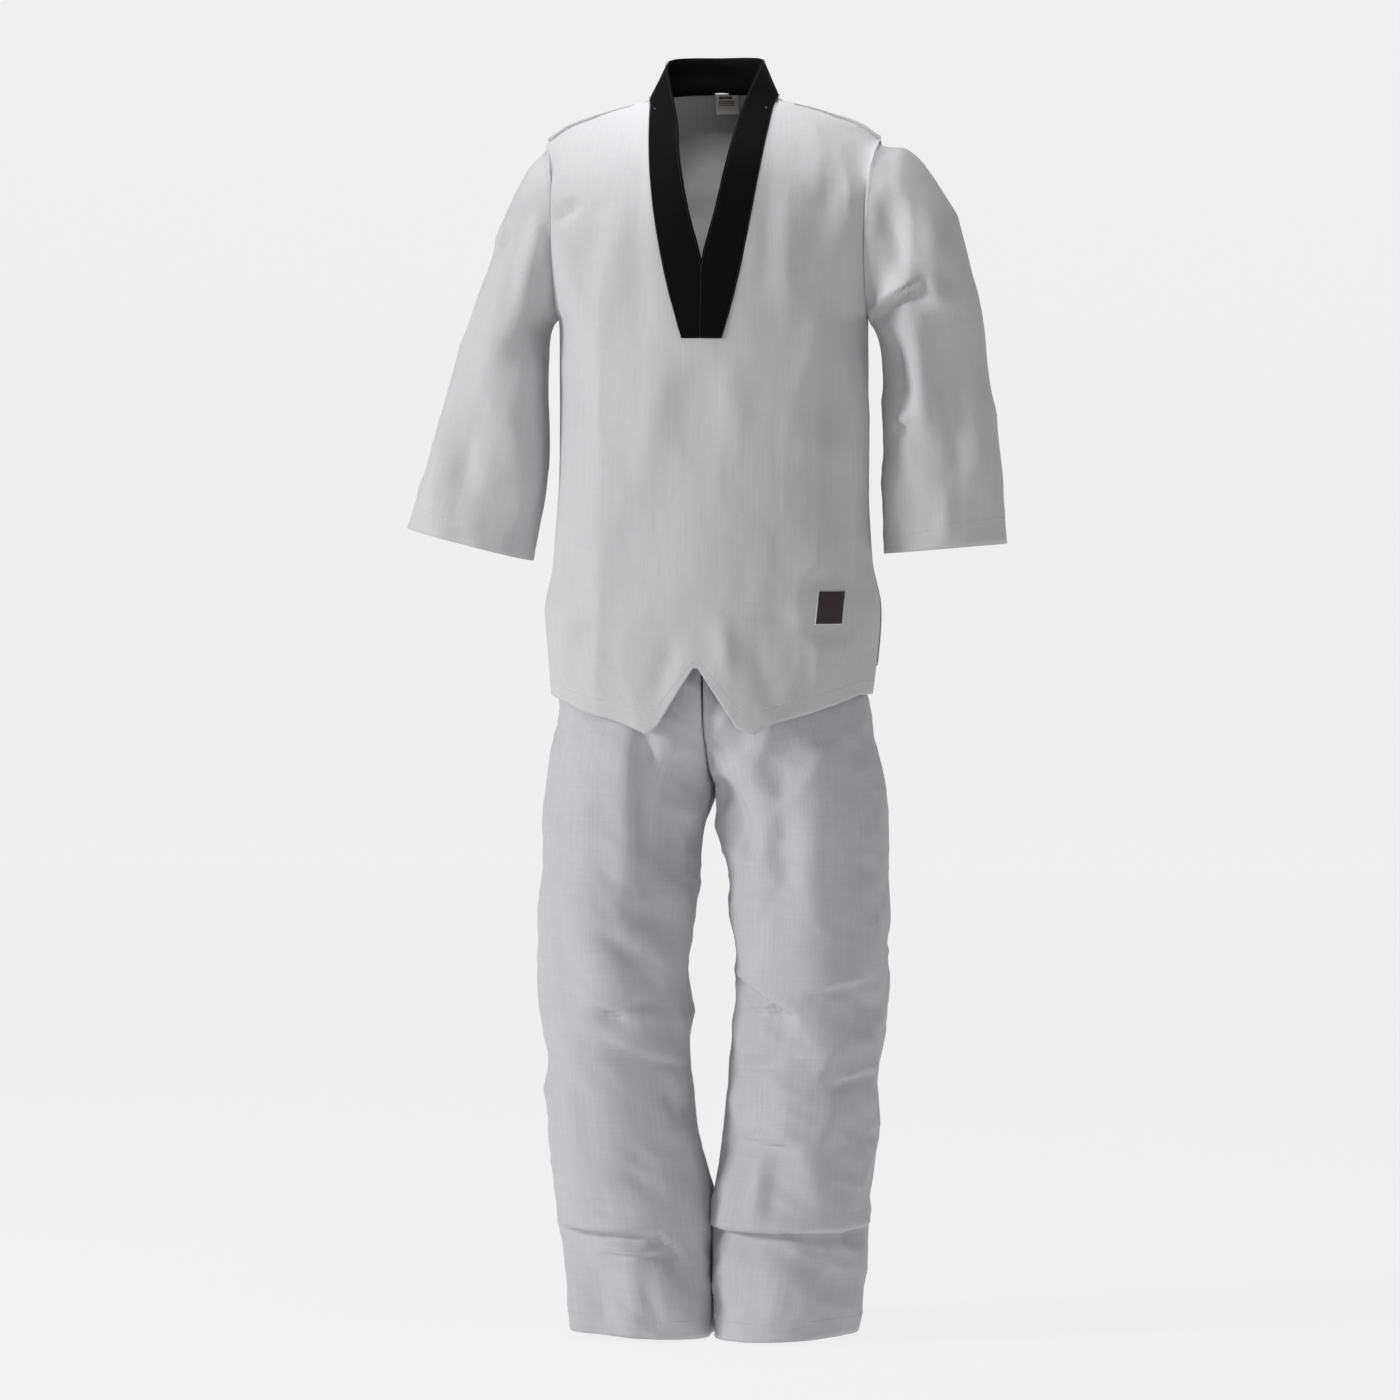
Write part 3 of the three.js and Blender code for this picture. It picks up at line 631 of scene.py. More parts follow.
front = Sheet(soft_tip(torso_grid(front_y, front_hem_z)), axis_point)
P = front.points
from_middle = np.abs(np.linspace(-1, 1, P.shape[1]))[None, :] * np.ones((len(P), 1))
away_from_edge = smooth(from_middle, 0.99, 0.86)
tucked = smooth(from_middle, 0.965, 1.0)  # the rims at the armholes, which lie under the sleeve heads
away_from_shoulder = 1 - smooth(P[..., 2] - shoulder_z(P[..., 0]), -34, -4)
flat_under_patch = 1 - smooth(-np.hypot((P[..., 0] - 152) / 34, (P[..., 2] + 616) / 36), -1.5, -0.9)
loose = away_from_edge * away_from_shoulder * flat_under_patch * smooth(from_band(P)[0], 6, 60)
PRESSED_LEFT, PRESSED_RIGHT = -123, 135
RIM_TUCK = 1.7
front_folds = [
    ((PRESSED_LEFT, -215), (PRESSED_LEFT - 2, -760), 4.6, 24, "pressed", 0.12),
    ((PRESSED_RIGHT, -210), (PRESSED_RIGHT + 1, -745), 4.6, 24, "pressed", 0.12),
    ((-150, -634), (10, -627), -3.6, 16, "pressed", 0.2),
    ((0, -627), (140, -631), -3.6, 16, "pressed", 0.2),
    ((-90, -75), (-124, -300), 4.0, 20, "ridge", 0.4),
    ((-58, -110), (-78, -330), -3.6, 15, "ridge", 0.4),
    ((92, -78), (106, -300), 3.6, 20, "ridge", 0.4),
    ((150, -72), (128, -240), -3.4, 17, "ridge", 0.4),
    ((-186, -150), (-150, -128), -3.4, 9, "ridge", 0.4),
    ((-188, -140), (-140, -300), 3.8, 18, "ridge", 0.4),
    ((-176, -262), (-140, -420), -4.2, 17, "ridge", 0.4),
    ((184, -258), (150, -420), -5.0, 18, "ridge", 0.4),
    ((186, -300), (168, -560), 5.0, 15, "ridge", 0.35),
    ((150, -300), (158, -590), -4.0, 16, "ridge", 0.35),
    ((-40, -300), (-70, -470), 2.6, 20, "ridge", 0.45),
    ((28, -300), (52, -450), 2.4, 18, "ridge", 0.45),
    ((-28, -640), (-60, -740), -3.0, 15, "ridge", 0.4),
    ((22, -620), (34, -700), 3.0, 12, "ridge", 0.4),
    ((60, -640), (90, -745), -2.4, 15, "ridge", 0.4),
    ((-160, -610), (-176, -730), 3.4, 13, "ridge", 0.4),
]
push = 1.5 * creases(P, loose, front_folds)
push += 5.0 * noise(P, (85, 200, 190), 3) * loose
push += 2.2 * ridged(P, (52, 80, 95), 5) * loose
push += 0.5 * ridged(P, (18, 24, 27), 6) * loose
pucker = np.exp(-(((np.arange(len(P))[:, None] - 4.0) / 3.2) ** 2))
push += 0.65 * pucker * noise(P * np.array([1, 1, 0.4]), (9, 30, 30), 7)
push -= RIM_TUCK * tucked * smooth(P[..., 2], ARMPIT_Z - 11, ARMPIT_Z + 14)
front.push(push)


def neck_half(z):
    """Half the width of the front neck opening at a height, a little inside the collar's seam edge."""
    return np.interp(z, [-293, -250, -203, -150, -95, -45, -5, 200], [25, 37, 48, 58, 66, 72, 76, 78]) - 7


def faces_centre(points):
    return (points[:-1, :-1] + points[1:, :-1] + points[:-1, 1:] + points[1:, 1:]) / 4


C = faces_centre(front.points)
keep_front = ~((C[..., 2] > -286) & (np.abs(C[..., 0]) < neck_half(C[..., 2])))
fit_to_band(front, keep_front)
front_panel = cloth_object("front_panel", front, jacket_canvas, hem_rows=HEM_ROWS, keep=keep_front)

# ---------------------------------------------------------------- back panel

back = Sheet(soft_tip(torso_grid(back_y, back_hem_z)), axis_point)
P = back.points
away_from_shoulder = 1 - smooth(P[..., 2] - shoulder_z(P[..., 0]), -34, -4)
loose = away_from_edge * away_from_shoulder * smooth(from_band(P)[0], 6, 60)
back_folds = [
    ((-125, -190), (-127, -745), 4.6, 24, "pressed", 0.12),
    ((125, -190), (127, -745), 4.6, 24, "pressed", 0.12),
    ((0, -60), (0, -700), 3.4, 20, "pressed", 0.12),
    ((-150, -632), (150, -630), -3.6, 16, "pressed", 0.15),
    ((-172, -230), (-90, -330), -5.0, 17, "ridge", 0.4),
    ((172, -230), (96, -340), -5.0, 17, "ridge", 0.4),
    ((-60, -300), (-80, -560), 4.0, 22, "ridge", 0.4),
    ((58, -300), (74, -560), 4.0, 22, "ridge", 0.4),
    ((-170, -420), (-60, -460), -3.6, 15, "ridge", 0.4),
    ((170, -430), (50, -475), -3.6, 15, "ridge", 0.4),
]
push = 1.5 * creases(P, loose, back_folds)
push += 5.0 * noise(P, (90, 200, 170), 13) * loose
push += 2.2 * ridged(P, (52, 80, 95), 15) * loose
push += 0.5 * ridged(P, (18, 24, 27), 16) * loose
push += 0.65 * pucker * noise(P * np.array([1, 1, 0.4]), (9, 30, 30), 17)
push -= RIM_TUCK * tucked * smooth(P[..., 2], ARMPIT_Z - 11, ARMPIT_Z + 14)
back.push(push)
C = faces_centre(back.points)
neck_floor = np.interp(np.abs(C[..., 0]), [0, 26, 47, 62, 72, 79, 82], [12, 11, 10, 8, 6, 2, 200])
keep_back = ~((np.abs(C[..., 0]) < 82) & (C[..., 2] > neck_floor))
fit_to_band(back, keep_back)
back_panel = cloth_object("back_panel", back, jacket_canvas, hem_rows=HEM_ROWS, keep=keep_back)

# ---------------------------------------------------------------- sleeves

sleeve_lines = {
    "left": (
        [(206, -44), (256, -78), (293, -150), (320, -250), (339, -400), (353, -540)],
        [(192, -262), (202, -284), (207, -330), (208, -390), (208, -470), (208, -552)],
    ),
    "right": (
        [(-206, -44), (-238, -105), (-262, -165), (-298, -270), (-342, -400), (-382, -520)],
        [(-192, -262), (-202, -290), (-206, -340), (-206, -400), (-210, -480), (-223, -561)],
    ),
}
sleeve_depth = profile([(0, 66), (0.3, 74), (0.7, 70), (1, 66)])
SLEEVE_BACK = 8
SLEEVE_HEAD = 0.12
SLEEVE_ROWS = 96
SLEEVE_COLUMNS = 92


def sleeve_grid(outer, inner):
    top_line = curve([(x, 0, z) for x, z in outer])
    low_line = curve([(x, 0, z) for x, z in inner])
    t = np.linspace(1, 0, SLEEVE_ROWS)[:, None]
    turn = np.linspace(0, 2 * np.pi, SLEEVE_COLUMNS, endpoint=False)[None, :]
    reach = np.sign(np.cos(turn)) * np.abs(np.cos(turn)) ** 0.9
    top, low = top_line(t[:, 0])[:, None], low_line(t[:, 0])[:, None]
    points = (top + low) / 2 + (top - low) * reach[..., None] / 2
    sewn = np.maximum(1 - t / SLEEVE_HEAD, 0) ** 2
    armhole = np.sign(points[..., 0]) * (torso_half(points[..., 2]) - 1.2)
    points[..., 0] += (armhole - points[..., 0]) * sewn
    points[..., 1] = SLEEVE_BACK * t + sleeve_depth(t) * np.sin(turn)
    return points


def sleeve_middle(side):
    outer, inner = (np.array(line, float) for line in sleeve_lines[side])
    middle = (outer + inner) / 2

    def at(p):
        order = np.argsort(middle[:, 1])
        x = np.interp(p[..., 2], middle[order, 1], middle[order, 0])
        return np.stack([x, p[..., 1] * 0 + SLEEVE_BACK, p[..., 2]], -1)

    return at


sleeve_folds = {
    "left": [
        ((198, -262), (262, -224), 9.0, 20, "step", 0.35),
        ((214, -276), (236, -392), -9.0, 20, "ridge", 0.4),
        ((258, -220), (300, -262), 4.0, 12, "ridge", 0.45),
        ((250, -240), (262, -420), 5.0, 15, "ridge", 0.4),
        ((226, -390), (246, -398), 5.0, 12, "step", 0.4),
        ((290, -260), (300, -500), -4.0, 18, "ridge", 0.4),
        ((215, -120), (240, -230), -4.0, 14, "ridge", 0.4),
        ((262, -110), (282, -230), 4.0, 16, "ridge", 0.45),
        ((222, -430), (232, -540), 3.2, 12, "ridge", 0.4),
        ((322, -330), (334, -520), 3.0, 12, "ridge", 0.4),
    ],
    "right": [
        ((-204, -130), (-232, -250), 5.0, 15, "ridge", 0.45),
        ((-214, -118), (-262, -300), -4.5, 14, "ridge", 0.4),
        ((-196, -250), (-236, -330), -6.0, 15, "ridge", 0.4),
        ((-240, -210), (-300, -450), 4.0, 18, "ridge", 0.4),
        ((-262, -300), (-312, -520), -4.0, 15, "ridge", 0.4),
        ((-215, -380), (-232, -540), 3.6, 13, "ridge", 0.4),
        ((-250, -140), (-262, -185), 4.0, 12, "step", 0.4),
        ((-318, -380), (-350, -520), 3.0, 13, "ridge", 0.4),
    ],
}

sleeves = {}
for side, seed in (("left", 23), ("right", 29)):
    sheet = Sheet(soft_tip(sleeve_grid(*sleeve_lines[side])), sleeve_middle(side), closed=True)
    P = sheet.points
    t = np.linspace(1, 0, SLEEVE_ROWS)[:, None]
    faces_front = smooth(-P[..., 1], -5, 32)
    sewn_down = smooth(t, 0.0, 0.09) * np.ones_like(P[..., 0])
    push = 1.9 * creases(P, faces_front, sleeve_folds[side])
    push += 0.8 * creases(P * np.array([0.97, 1, 1.03]), 1 - faces_front, sleeve_folds[side][1:])
    push += 5.4 * noise(P, (60, 70, 150), seed)
    push += 2.8 * ridged(P, (44, 50, 84), seed + 1)
    push += 0.5 * ridged(P, (17, 20, 27), seed + 6)
    push *= sewn_down
    rows = np.arange(SLEEVE_ROWS)[:, None]
    push += 0.6 * np.exp(-((rows - 4.4) / 2.6) ** 2) * noise(P * np.array([1, 1, 0.4]), (9, 9, 30), seed + 2)
    push += 0.7 * np.exp(-((rows - SLEEVE_ROWS + 3) / 2.2) ** 2) * noise(P, (12, 12, 12), seed + 3)
    sheet.push(push)
    sleeves[side] = (sheet, cloth_object(f"{side}_sleeve_cloth", sheet, jacket_canvas, hem_rows=HEM_ROWS))

# ---------------------------------------------------------------- collar band

BAND_STEPS = 120
BAND_HALF = 2.1
LEFT_LIFT, RIGHT_LIFT = 1.9, -0.6  # how far each lower end comes forward, the wearer's left over the right
BAND_ACROSS = [-1.0, -0.985, -0.94, -0.8, -0.5, 0, 0.5, 0.8, 0.94, 0.985, 1.0]


def band_half(mirror, lift):
    """Sections of half the band from its lower end to the middle of the back, each a closed loop of points."""
    seam_at, free_at = curve(seam_points), curve(free_points)
    t = np.linspace(0, 1, BAND_STEPS)
    seam, free = seam_at(t), free_at(t)
    along = np.gradient(seam, axis=0)
    across = free - seam
    out = np.cross(across, along)
    out /= np.linalg.norm(out, axis=1, keepdims=True)
    if (out[5] @ np.array([0, -1, 0])) < 0:
        out = -out
    s = np.array(BAND_ACROSS)
    middle = (seam + free)[:, None] / 2 + across[:, None] * s[None, :, None] / 2
    thick = BAND_HALF * np.clip(1 - np.abs(s) ** 14, 0.25, 1)
    crown = 0.35 * (1 - s**2)
    ripple = 0.55 * noise(middle, (30, 30, 42), 41) + 0.25 * noise(middle, (9, 9, 14), 43)
    forward = lift * (1 - smooth(middle[..., 2], -293, -190))
    outer = middle + out[:, None] * (thick + crown + ripple + forward)[..., None]
    lapped = 3.2 * smooth(t, 0.56, 0.72)[:, None] * (s < 0)
    inner = middle - out[:, None] * (thick + lapped - 0.2 * ripple - forward)[..., None]
    loop = np.concatenate([outer, inner[:, ::-1]], 1)
    return loop * np.array([mirror, 1, 1]), middle, out, forward


left_band = band_half(1, LEFT_LIFT)[0]
right_band = band_half(-1, RIGHT_LIFT)[0]
whole = np.concatenate([left_band, right_band[-2::-1, :, :]])
ring = whole.shape[1]
faces = ordered_faces(len(whole), ring, True, False)
caps = []
for row, flip in ((0, False), (len(whole) - 1, True)):
    n = ring // 2
    for i in range(n - 1):
        quad = [row * ring + i, row * ring + i + 1, row * ring + ring - 2 - i, row * ring + ring - 1 - i]
        caps.append(quad[::-1] if flip else quad)
faces = np.concatenate([faces, np.array(caps)])
step = np.concatenate([[0], np.cumsum(np.linalg.norm(np.diff(whole.mean(1), axis=0), axis=1))])
around = np.concatenate([[0], np.cumsum(np.linalg.norm(np.diff(whole[40], axis=0), axis=1))])
cloth = np.stack(np.broadcast_arrays(around[None, :], step[:, None]), -1).reshape(-1, 2)
collar = mesh_object("collar_band", whole.reshape(-1, 3), faces, collar_cotton, cloth)
rounding = collar.modifiers.new("round", "SUBSURF")
rounding.levels = 1
apply_modifiers(collar)

# ---------------------------------------------------------------- label and patch

LABEL_X, LABEL_HALF, LABEL_LOW, LABEL_HIGH = 6, 14.5, -12, 14


def on_label(x, z, proud):
    """Points on the label, which hangs free of the back panel at its lower edge."""
    hang = 1.2 * (LABEL_HIGH - z) / (LABEL_HIGH - LABEL_LOW)
    return np.stack([x, back_y(x, z) - proud - hang, z], -1)


lx, lz = np.meshgrid(
    np.linspace(LABEL_X - LABEL_HALF, LABEL_X + LABEL_HALF, 16), np.linspace(LABEL_LOW, LABEL_HIGH, 14)
)
label_sheet = Sheet(on_label(lx, lz, 5.2), lambda p: p + np.array([0, 50, 0]))
label = cloth_object("size_label_tape", label_sheet, label_tape)
ink = []
LABEL_BARS = [(9.0, 0.18, 0.74, 3.4), (4.6, 0.14, 0.86, 1.0), (2.6, 0.14, 0.80, 1.0), (0.2, 0.14, 0.84, 0.9)]
for z, start, end, tall in LABEL_BARS:
    bx, bz = np.meshgrid(
        LABEL_X - LABEL_HALF + 2 * LABEL_HALF * np.linspace(start, end, 8),
        np.linspace(z - tall / 2, z + tall / 2, 3),
    )
    bar = on_label(bx, bz, 5.6)
    ink.append(mesh_object("bar", bar.reshape(-1, 3), ordered_faces(3, 8, False, True), label_ink))


def joined(name, objects):
    for obj in objects:
        obj.select_set(True)
    bpy.context.view_layer.objects.active = objects[0]
    with bpy.context.temp_override(active_object=objects[0], selected_editable_objects=objects):
        bpy.ops.object.join()
    objects[0].name = name
    return objects[0]


label_marks = joined("size_label_marks", ink)
thicken(label_marks, 0.25)


def grid_place(sheet, x, z):
    """The fractional row and column of a sheet where it passes a place seen from the front."""
    d = np.hypot(sheet.points[..., 0] - x, sheet.points[..., 2] - z)
    i, j = np.unravel_index(np.argmin(d), d.shape)
    dz = sheet.points[min(i + 1, len(d) - 1), j, 2] - sheet.points[i, j, 2]
    dx = sheet.points[i, min(j + 1, d.shape[1] - 1), 0] - sheet.points[i, j, 0]
    return i + (z - sheet.points[i, j, 2]) / dz, j + (x - sheet.points[i, j, 0]) / dx


PATCH = {"x": 152, "z": -616, "half_w": 14.5, "half_h": 19.5, "skew": -1.6}


def patch_point(s, r, lift):
    x = PATCH["x"] + PATCH["half_w"] * s + PATCH["skew"] * -r
    z = PATCH["z"] + PATCH["half_h"] * r
    row, column = grid_place(front, x, z)
    return front.at(np.array(row), np.array(column), lift)


def patch_grid(lift, grow):
    s = np.linspace(-1, 1, 13) * (1 + grow / PATCH["half_w"])
    r = np.linspace(-1, 1, 17) * (1 + grow / PATCH["half_h"])
    return np.array([[patch_point(a, b, lift)[0] for a in s] for b in r])


patch_cloth = Sheet(patch_grid(1.3, 0), axis_point)
patch = cloth_object("hem_patch_weave", patch_cloth, patch_weave)
border_cloth = Sheet(patch_grid(0.9, 0.8), axis_point)
patch_border = cloth_object("hem_patch_border", border_cloth, white_thread)

# ---------------------------------------------------------------- trousers

CROTCH_Z = -832
LEG_BOTTOM = -1505
HIP_TOP = -597
trouser_half = profile([
    (-1505, 171), (-1350, 190), (-1277, 198), (-1155, 207), (-1045, 211), (-948, 209), (-832, 202),
    (-760, 192), (-690, 184), (-600, 164), (-556, 156),
])
inside_leg = profile([
    (-1505, 2.5), (-1350, 2.5), (-1277, 17), (-1155, 28), (-1045, 32), (-948, 20), (-832, 2.5), (-700, 0.5),
])
leg_depth = profile([
    (-1505, 84), (-1350, 92), (-1155, 98), (-948, 108), (-832, 116), (-690, 122), (-600, 106), (-556, 98),
])


def sweep_of(z):
    t = np.clip((z - CROTCH_Z) / (-715 - CROTCH_Z), 0, 1)
    return 180 - 90 * t**0.7


def trouser_grid(side, columns=128, rows=176):
    share = np.linspace(-1, 1, columns)[None, :]
    z = np.linspace(LEG_BOTTOM, HIP_TOP, rows)[:, None]
    inseam = inside_leg(z)
    sweep = sweep_of(z)
    radius = (trouser_half(z) - inseam) / (1 - np.cos(np.radians(sweep)))
    turn = np.radians(sweep * share * 0.998)
    x = trouser_half(z) - radius + radius * np.cos(turn)
    y = -leg_depth(z) * np.sin(turn)
    hem_dip = 4 * np.cos(turn) * smooth(-z, 1400, 1505)
    return np.stack([side * x, y, z + hem_dip + 0 * turn], -1)


trouser_folds = {
    "right": [
        ((-70, -735), (-66, -965), -8.0, 14, "ridge", 0.35),
        ((-94, -745), (-92, -985), 5.0, 17, "ridge", 0.4),
        ((-34, -800), (-44, -960), -11.0, 19, "ridge", 0.4),
        ((-182, -955), (-82, -1108), 6.0, 26, "ridge", 0.4),
        ((-150, -1000), (-66, -1050), -3.4, 15, "ridge", 0.4),
        ((-146, -1090), (-78, -1120), 5.0, 12, "step", 0.4),
        ((-134, -1112), (-60, -1092), -4.2, 10, "ridge", 0.4),
        ((-120, -1140), (-30, -1176), 6.0, 15, "step", 0.4),
        ((-196, -1180), (-120, -1206), 4.2, 14, "step", 0.4),
        ((-60, -1190), (-20, -1260), -6.0, 14, "ridge", 0.4),
        ((-120, -1180), (-104, -1330), 5.0, 19, "ridge", 0.4),
        ((-178, -1336), (-70, -1338), 4.0, 13, "step", 0.35),
        ((-186, -1374), (-62, -1374), 9.0, 17, "step", 0.25),
        ((-66, -1372), (-30, -1404), 6.5, 13, "step", 0.35),
        ((-140, -1398), (-44, -1402), 5.0, 12, "step", 0.4),
        ((-60, -1410), (-40, -1495), 5.0, 14, "ridge", 0.4),
        ((-140, -1410), (-128, -1500), -4.0, 14, "ridge", 0.4),
        ((-90, -1400), (-86, -1500), 3.6, 14, "ridge", 0.4),
    ],
    "left": [
        ((14, -812), (62, -930), -8.0, 15, "ridge", 0.4),
        ((20, -780), (96, -860), 6.0, 15, "ridge", 0.45),
        ((40, -950), (60, -1080), 5.0, 13, "ridge", 0.4),
        ((90, -790), (100, -1040), -4.2, 20, "ridge", 0.4),
        ((150, -760), (128, -1010), 5.0, 22, "ridge", 0.4),
        ((34, -1062), (118, -1112), 8.0, 12, "step", 0.3),
        ((44, -1098), (100, -1106), 5.0, 9, "step", 0.4),
        ((120, -1080), (196, -1066), 4.6, 15, "step", 0.4),
        ((36, -1180), (96, -1166), -4.6, 11, "ridge", 0.4),
        ((30, -1258), (116, -1268), 6.0, 10, "step", 0.35),
        ((150, -1190), (206, -1178), 4.6, 15, "step", 0.4),
        ((68, -1270), (60, -1374), 5.0, 12, "ridge", 0.3),
        ((120, -1250), (150, -1370), 4.2, 16, "ridge", 0.4),
        ((4, -1372), (206, -1370), 10.0, 16, "step", 0.14),
        ((90, -1400), (80, -1500), 4.0, 16, "ridge", 0.4),
        ((150, -1410), (142, -1500), -4.0, 14, "ridge", 0.4),
    ],
}
trouser_back_folds = [
    ((30, -800), (150, -880), 7.0, 17, "step", 0.4),
    ((20, -860), (120, -960), -6.0, 15, "ridge", 0.4),
    ((60, -1060), (190, -1090), 6.0, 15, "step", 0.35),
    ((50, -1130), (170, -1110), -5.0, 13, "ridge", 0.4),
    ((110, -900), (96, -1330), 5.0, 24, "ridge", 0.35),
    ((20, -1380), (170, -1392), 8.0, 16, "step", 0.3),
    ((90, -1400), (96, -1500), 4.0, 15, "ridge", 0.4),
]
halves = {}
for side, sign, seed in (("left", 1, 53), ("right", -1, 59)):
    leg_middle = np.array([sign * 100, 0, 0])
    sheet = Sheet(trouser_grid(sign), lambda p, middle=leg_middle: axis_point(p) + middle)
    P = sheet.points
    share = np.linspace(-1, 1, P.shape[1])[None, :] * np.ones((len(P), 1))
    faces_front = smooth(-P[..., 1], -5, 40)
    faces_back = smooth(P[..., 1], -5, 40)
    off_seam = smooth(np.abs(share), 1.0, 0.93)
    push = 2.1 * creases(P, faces_front, trouser_folds[side])
    push += 1.9 * creases(P * np.array([sign, 1, 1]), faces_back, trouser_back_folds)
    push += 7.5 * noise(P, (75, 80, 130), seed)
    tilted = P @ np.array([[1, 0, 0.5], [0, 1, 0], [-0.5 * sign, 0, 1]])
    push += 6.5 * ridged(tilted, (62, 70, 84), seed + 1)
    push += 1.9 * ridged(tilted[..., ::-1], (27, 30, 36), seed + 2)
    push += 0.6 * ridged(tilted, (15, 17, 20), seed + 5)
    gather = smooth(P[..., 2], -680, -600)
    push += 3.0 * gather * np.cos(np.radians(sweep_of(P[..., 2]) * share) * 19)
    push = np.where(push > 0, 12 * np.tanh(push / 12), 22 * np.tanh(push / 22)) * (0.25 + 0.75 * off_seam)
    rise = np.exp(-((np.abs(share) - 0.985) / 0.03) ** 2) * smooth(P[..., 2], -860, -820)
    push += 1.4 * rise * noise(P, (20, 20, 8), seed + 3)
    rows = np.arange(len(P))[:, None]
    push += 0.7 * np.exp(-((rows - 4.4) / 2.6) ** 2) * noise(P * np.array([1, 1, 0.4]), (10, 10, 30), seed + 4)
    sheet.push(push)
    beyond = sheet.points[..., 0] * sign < 0.35
    sheet.points[..., 0] = np.where(beyond, sign * 0.35, sheet.points[..., 0])
    sheet.update()
    halves[side] = (sheet, cloth_object(f"{side}_trouser_cloth", sheet, trouser_canvas, hem_rows=HEM_ROWS))

# The gathered waistband: a casing with the elastic inside it, in ridges between its stitched channels.
turn = np.linspace(0, 2 * np.pi, 300, endpoint=False)[None, :]
WAIST_ROWS = np.array([-597, -596, -590, -583, -577, -571, -565, -559, -556.4])[:, None]
waist_bulge = np.array([0, 0.8, 2.2, 1.0, 2.2, 1.0, 2.2, 1.0, 0])[:, None]
wave = 1.5 * np.sin(turn * 46) + 0.9 * np.sin(turn * 71 + 1)
grow = waist_bulge * 0.9 + wave * np.clip(waist_bulge, 0.4, 1) * 0.55
wx = (trouser_half(WAIST_ROWS) - 0.8 + grow) * np.cos(turn)
wy = -(leg_depth(WAIST_ROWS) - 0.8 + grow) * np.sin(turn)
waist_sheet = Sheet(np.stack([wx, wy, WAIST_ROWS + 0 * turn], -1), axis_point, closed=True)
waistband = cloth_object("waistband_casing", waist_sheet, trouser_canvas)
lining_sheet = Sheet(waist_sheet.points - waist_sheet.normals * 5.2, axis_point, closed=True)
waist_lining = cloth_object("waistband_lining", lining_sheet, trouser_canvas)

# ---------------------------------------------------------------- seams


def row_run(sheet, row, start=0.0, end=1.0, lift=0.05, count=240):
    columns = sheet.points.shape[1]
    column = np.linspace(start, end, count) * (columns if sheet.closed else columns - 1)
    return sheet.at(np.full(count, float(row)), column, lift)


def column_run(sheet, column, start, end, lift=0.05, count=240):
    return sheet.at(np.linspace(start, end, count), np.full(count, float(column)), lift)


STITCH_ROW = 4.3  # just inside the turned-up hem's edge
front_stitches = stitches("front_hem_stitches", [row_run(front, STITCH_ROW)], white_thread)
back_stitches = stitches("back_hem_stitches", [row_run(back, STITCH_ROW)], white_thread)
sleeve_stitches = {}
for side, (sheet, _) in sleeves.items():
    runs = [row_run(sheet, STITCH_ROW), row_run(sheet, SLEEVE_ROWS - 2.6)]
    sleeve_stitches[side] = stitches(f"{side}_sleeve_stitches", runs, white_thread)
trouser_stitches = {}
for side, (sheet, _) in halves.items():
    last = sheet.points.shape[1] - 1
    rows = len(sheet.points)
    runs = [row_run(sheet, STITCH_ROW)]
    runs += [column_run(sheet, c, rows * 0.742, rows - 1) for c in (1.3, last - 1.3)]
    trouser_stitches[side] = stitches(f"{side}_trouser_stitches", runs, white_thread)

edge_runs = []
for mirror, lift in ((1, LEFT_LIFT), (-1, RIGHT_LIFT)):
    _, middle, out, forward = band_half(1, lift)
    for column in (1, 9):
        rows = slice(0, len(middle) - 1)
        raised = middle[rows, column] * 0.93 + middle[rows, 5] * 0.07
        lift_off = BAND_HALF + 0.3 + forward[rows, column]
        points = (raised + out[rows] * lift_off[:, None]) * np.array([mirror, 1, 1])
        edge_runs.append((points, out[rows] * np.array([mirror, 1, 1])))
collar_stitches = stitches("collar_stitches", edge_runs, black_thread)

# ---------------------------------------------------------------- the frame: bodies, hidden CAD nodes, baked pieces, the elastic's material

for piece in (front_panel, front_stitches, patch, patch_border):
    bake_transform(piece)
for piece in (back_panel, back_stitches):
    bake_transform(piece)
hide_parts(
    "jacket_front_panel", "front_tail", "front_vent_facing_left", "front_vent_facing_right",
    "front_hem_facing_left", "front_hem_facing_right",
)
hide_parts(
    "jacket_back_panel", "back_tail", "back_vent_facing_left", "back_vent_facing_right",
    "back_hem_facing", "back_neck_lining",
)
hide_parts("hem_patch")
for piece in (collar, collar_stitches, label, label_marks):
    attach(piece, "jacket")
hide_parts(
    "collar_band_left", "collar_band_right", "collar_band_back", "collar_core_left", "collar_core_right",
    "collar_core_back",
)
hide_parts("size_label")
for side, sign in (("left", 1), ("right", -1)):
    for piece in (sleeves[side][1], sleeve_stitches[side]):
        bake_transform(piece)
    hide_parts(f"{side}_sleeve", f"{side}_cuff_facing")
    for piece in (halves[side][1], trouser_stitches[side]):
        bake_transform(piece)
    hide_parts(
        f"{side}_hip_front", f"{side}_hip_back", f"{side}_hip_fold", f"{side}_leg_front",
        f"{side}_leg_back", f"{side}_hem_facing",
    )
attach(waistband, "trousers")
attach(waist_lining, "trousers")
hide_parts("waistband_outer")
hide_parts("waistband_inner")
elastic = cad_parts["waistband_elastic"]
elastic.data.materials.clear()
elastic.data.materials.append(elastic_knit)

# ---------------------------------------------------------------- studio

FLOOR_Z = cad_bounds[0][2] - 0.006
PAPER_GLOW = 0.835
WALL_Y, WALL_TOP, BEND = 12.0, 9.0, 3.0


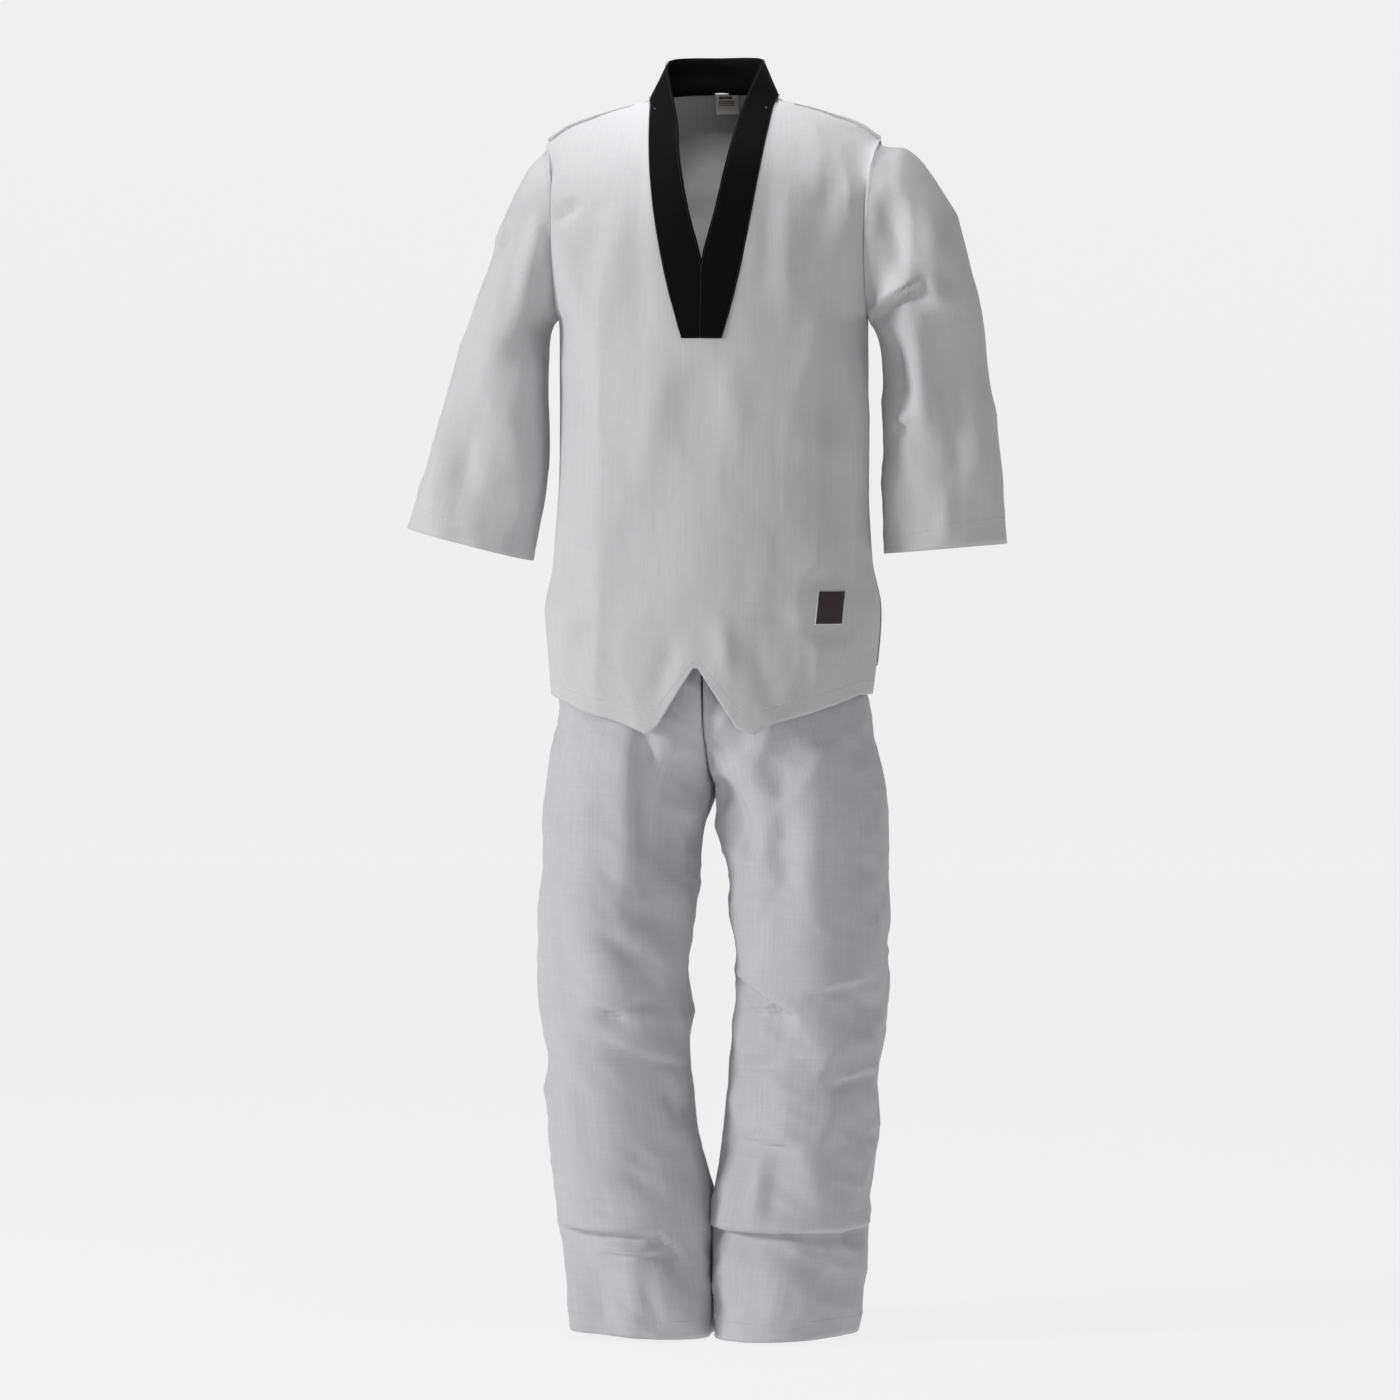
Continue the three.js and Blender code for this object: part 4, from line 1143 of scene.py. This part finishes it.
def studio():
    """A pale paper sweep, bright enough by itself to look even, with soft lights from the front."""
    paper = bpy.data.materials.new("studio_paper")
    paper.use_nodes = True
    surface = paper.node_tree.nodes["Principled BSDF"]
    surface.inputs["Base Color"].default_value = (0.08, 0.08, 0.08, 1)
    surface.inputs["Roughness"].default_value = 1.0
    surface.inputs["Specular IOR Level"].default_value = 0.0
    surface.inputs["Emission Color"].default_value = (1, 1, 1, 1)
    surface.inputs["Emission Strength"].default_value = PAPER_GLOW
    turn = np.linspace(0, math.pi / 2, 16)
    line = [(-12.0, 0.0), (-2.0, 0.0)]
    line += [(WALL_Y - BEND + BEND * math.sin(a), BEND - BEND * math.cos(a)) for a in turn]
    line.append((WALL_Y, WALL_TOP))
    points = [(x, y, FLOOR_Z + z) for y, z in line for x in (-12.0, 12.0)]
    faces = [(2 * i, 2 * i + 1, 2 * i + 3, 2 * i + 2) for i in range(len(line) - 1)]
    mesh = bpy.data.meshes.new("sweep")
    mesh.from_pydata(points, [], faces)
    mesh.shade_smooth()
    mesh.materials.append(paper)
    sweep = bpy.data.objects.new("sweep", mesh)
    bpy.context.collection.objects.link(sweep)

    world = bpy.data.worlds.new("studio")
    bpy.context.scene.world = world
    world.use_nodes = True
    back_light = world.node_tree.nodes["Background"]
    back_light.inputs["Color"].default_value = (0.9, 0.9, 0.92, 1)
    back_light.inputs["Strength"].default_value = 0.17

    for name, place, size, power in (
        ("key", (-3.7, -1.9, 0.4), 0.8, 118),
        ("fill", (1.6, -3.8, 0.4), 2.0, 15),
        ("top", (0.0, -0.5, 2.4), 1.0, 12),
        ("neck", (0.0, -0.12, 0.40), 0.14, 2.3),
    ):
        data = bpy.data.lights.new(name, "AREA")
        data.size = size
        data.energy = power
        lamp = bpy.data.objects.new(name, data)
        lamp.location = place
        aim = Vector((0, 0.05, -0.1 if name == "neck" else -0.7)) - Vector(place)
        lamp.rotation_euler = aim.to_track_quat("-Z", "Y").to_euler()
        bpy.context.collection.objects.link(lamp)
    bpy.context.scene.view_settings.view_transform = "Standard"


studio()
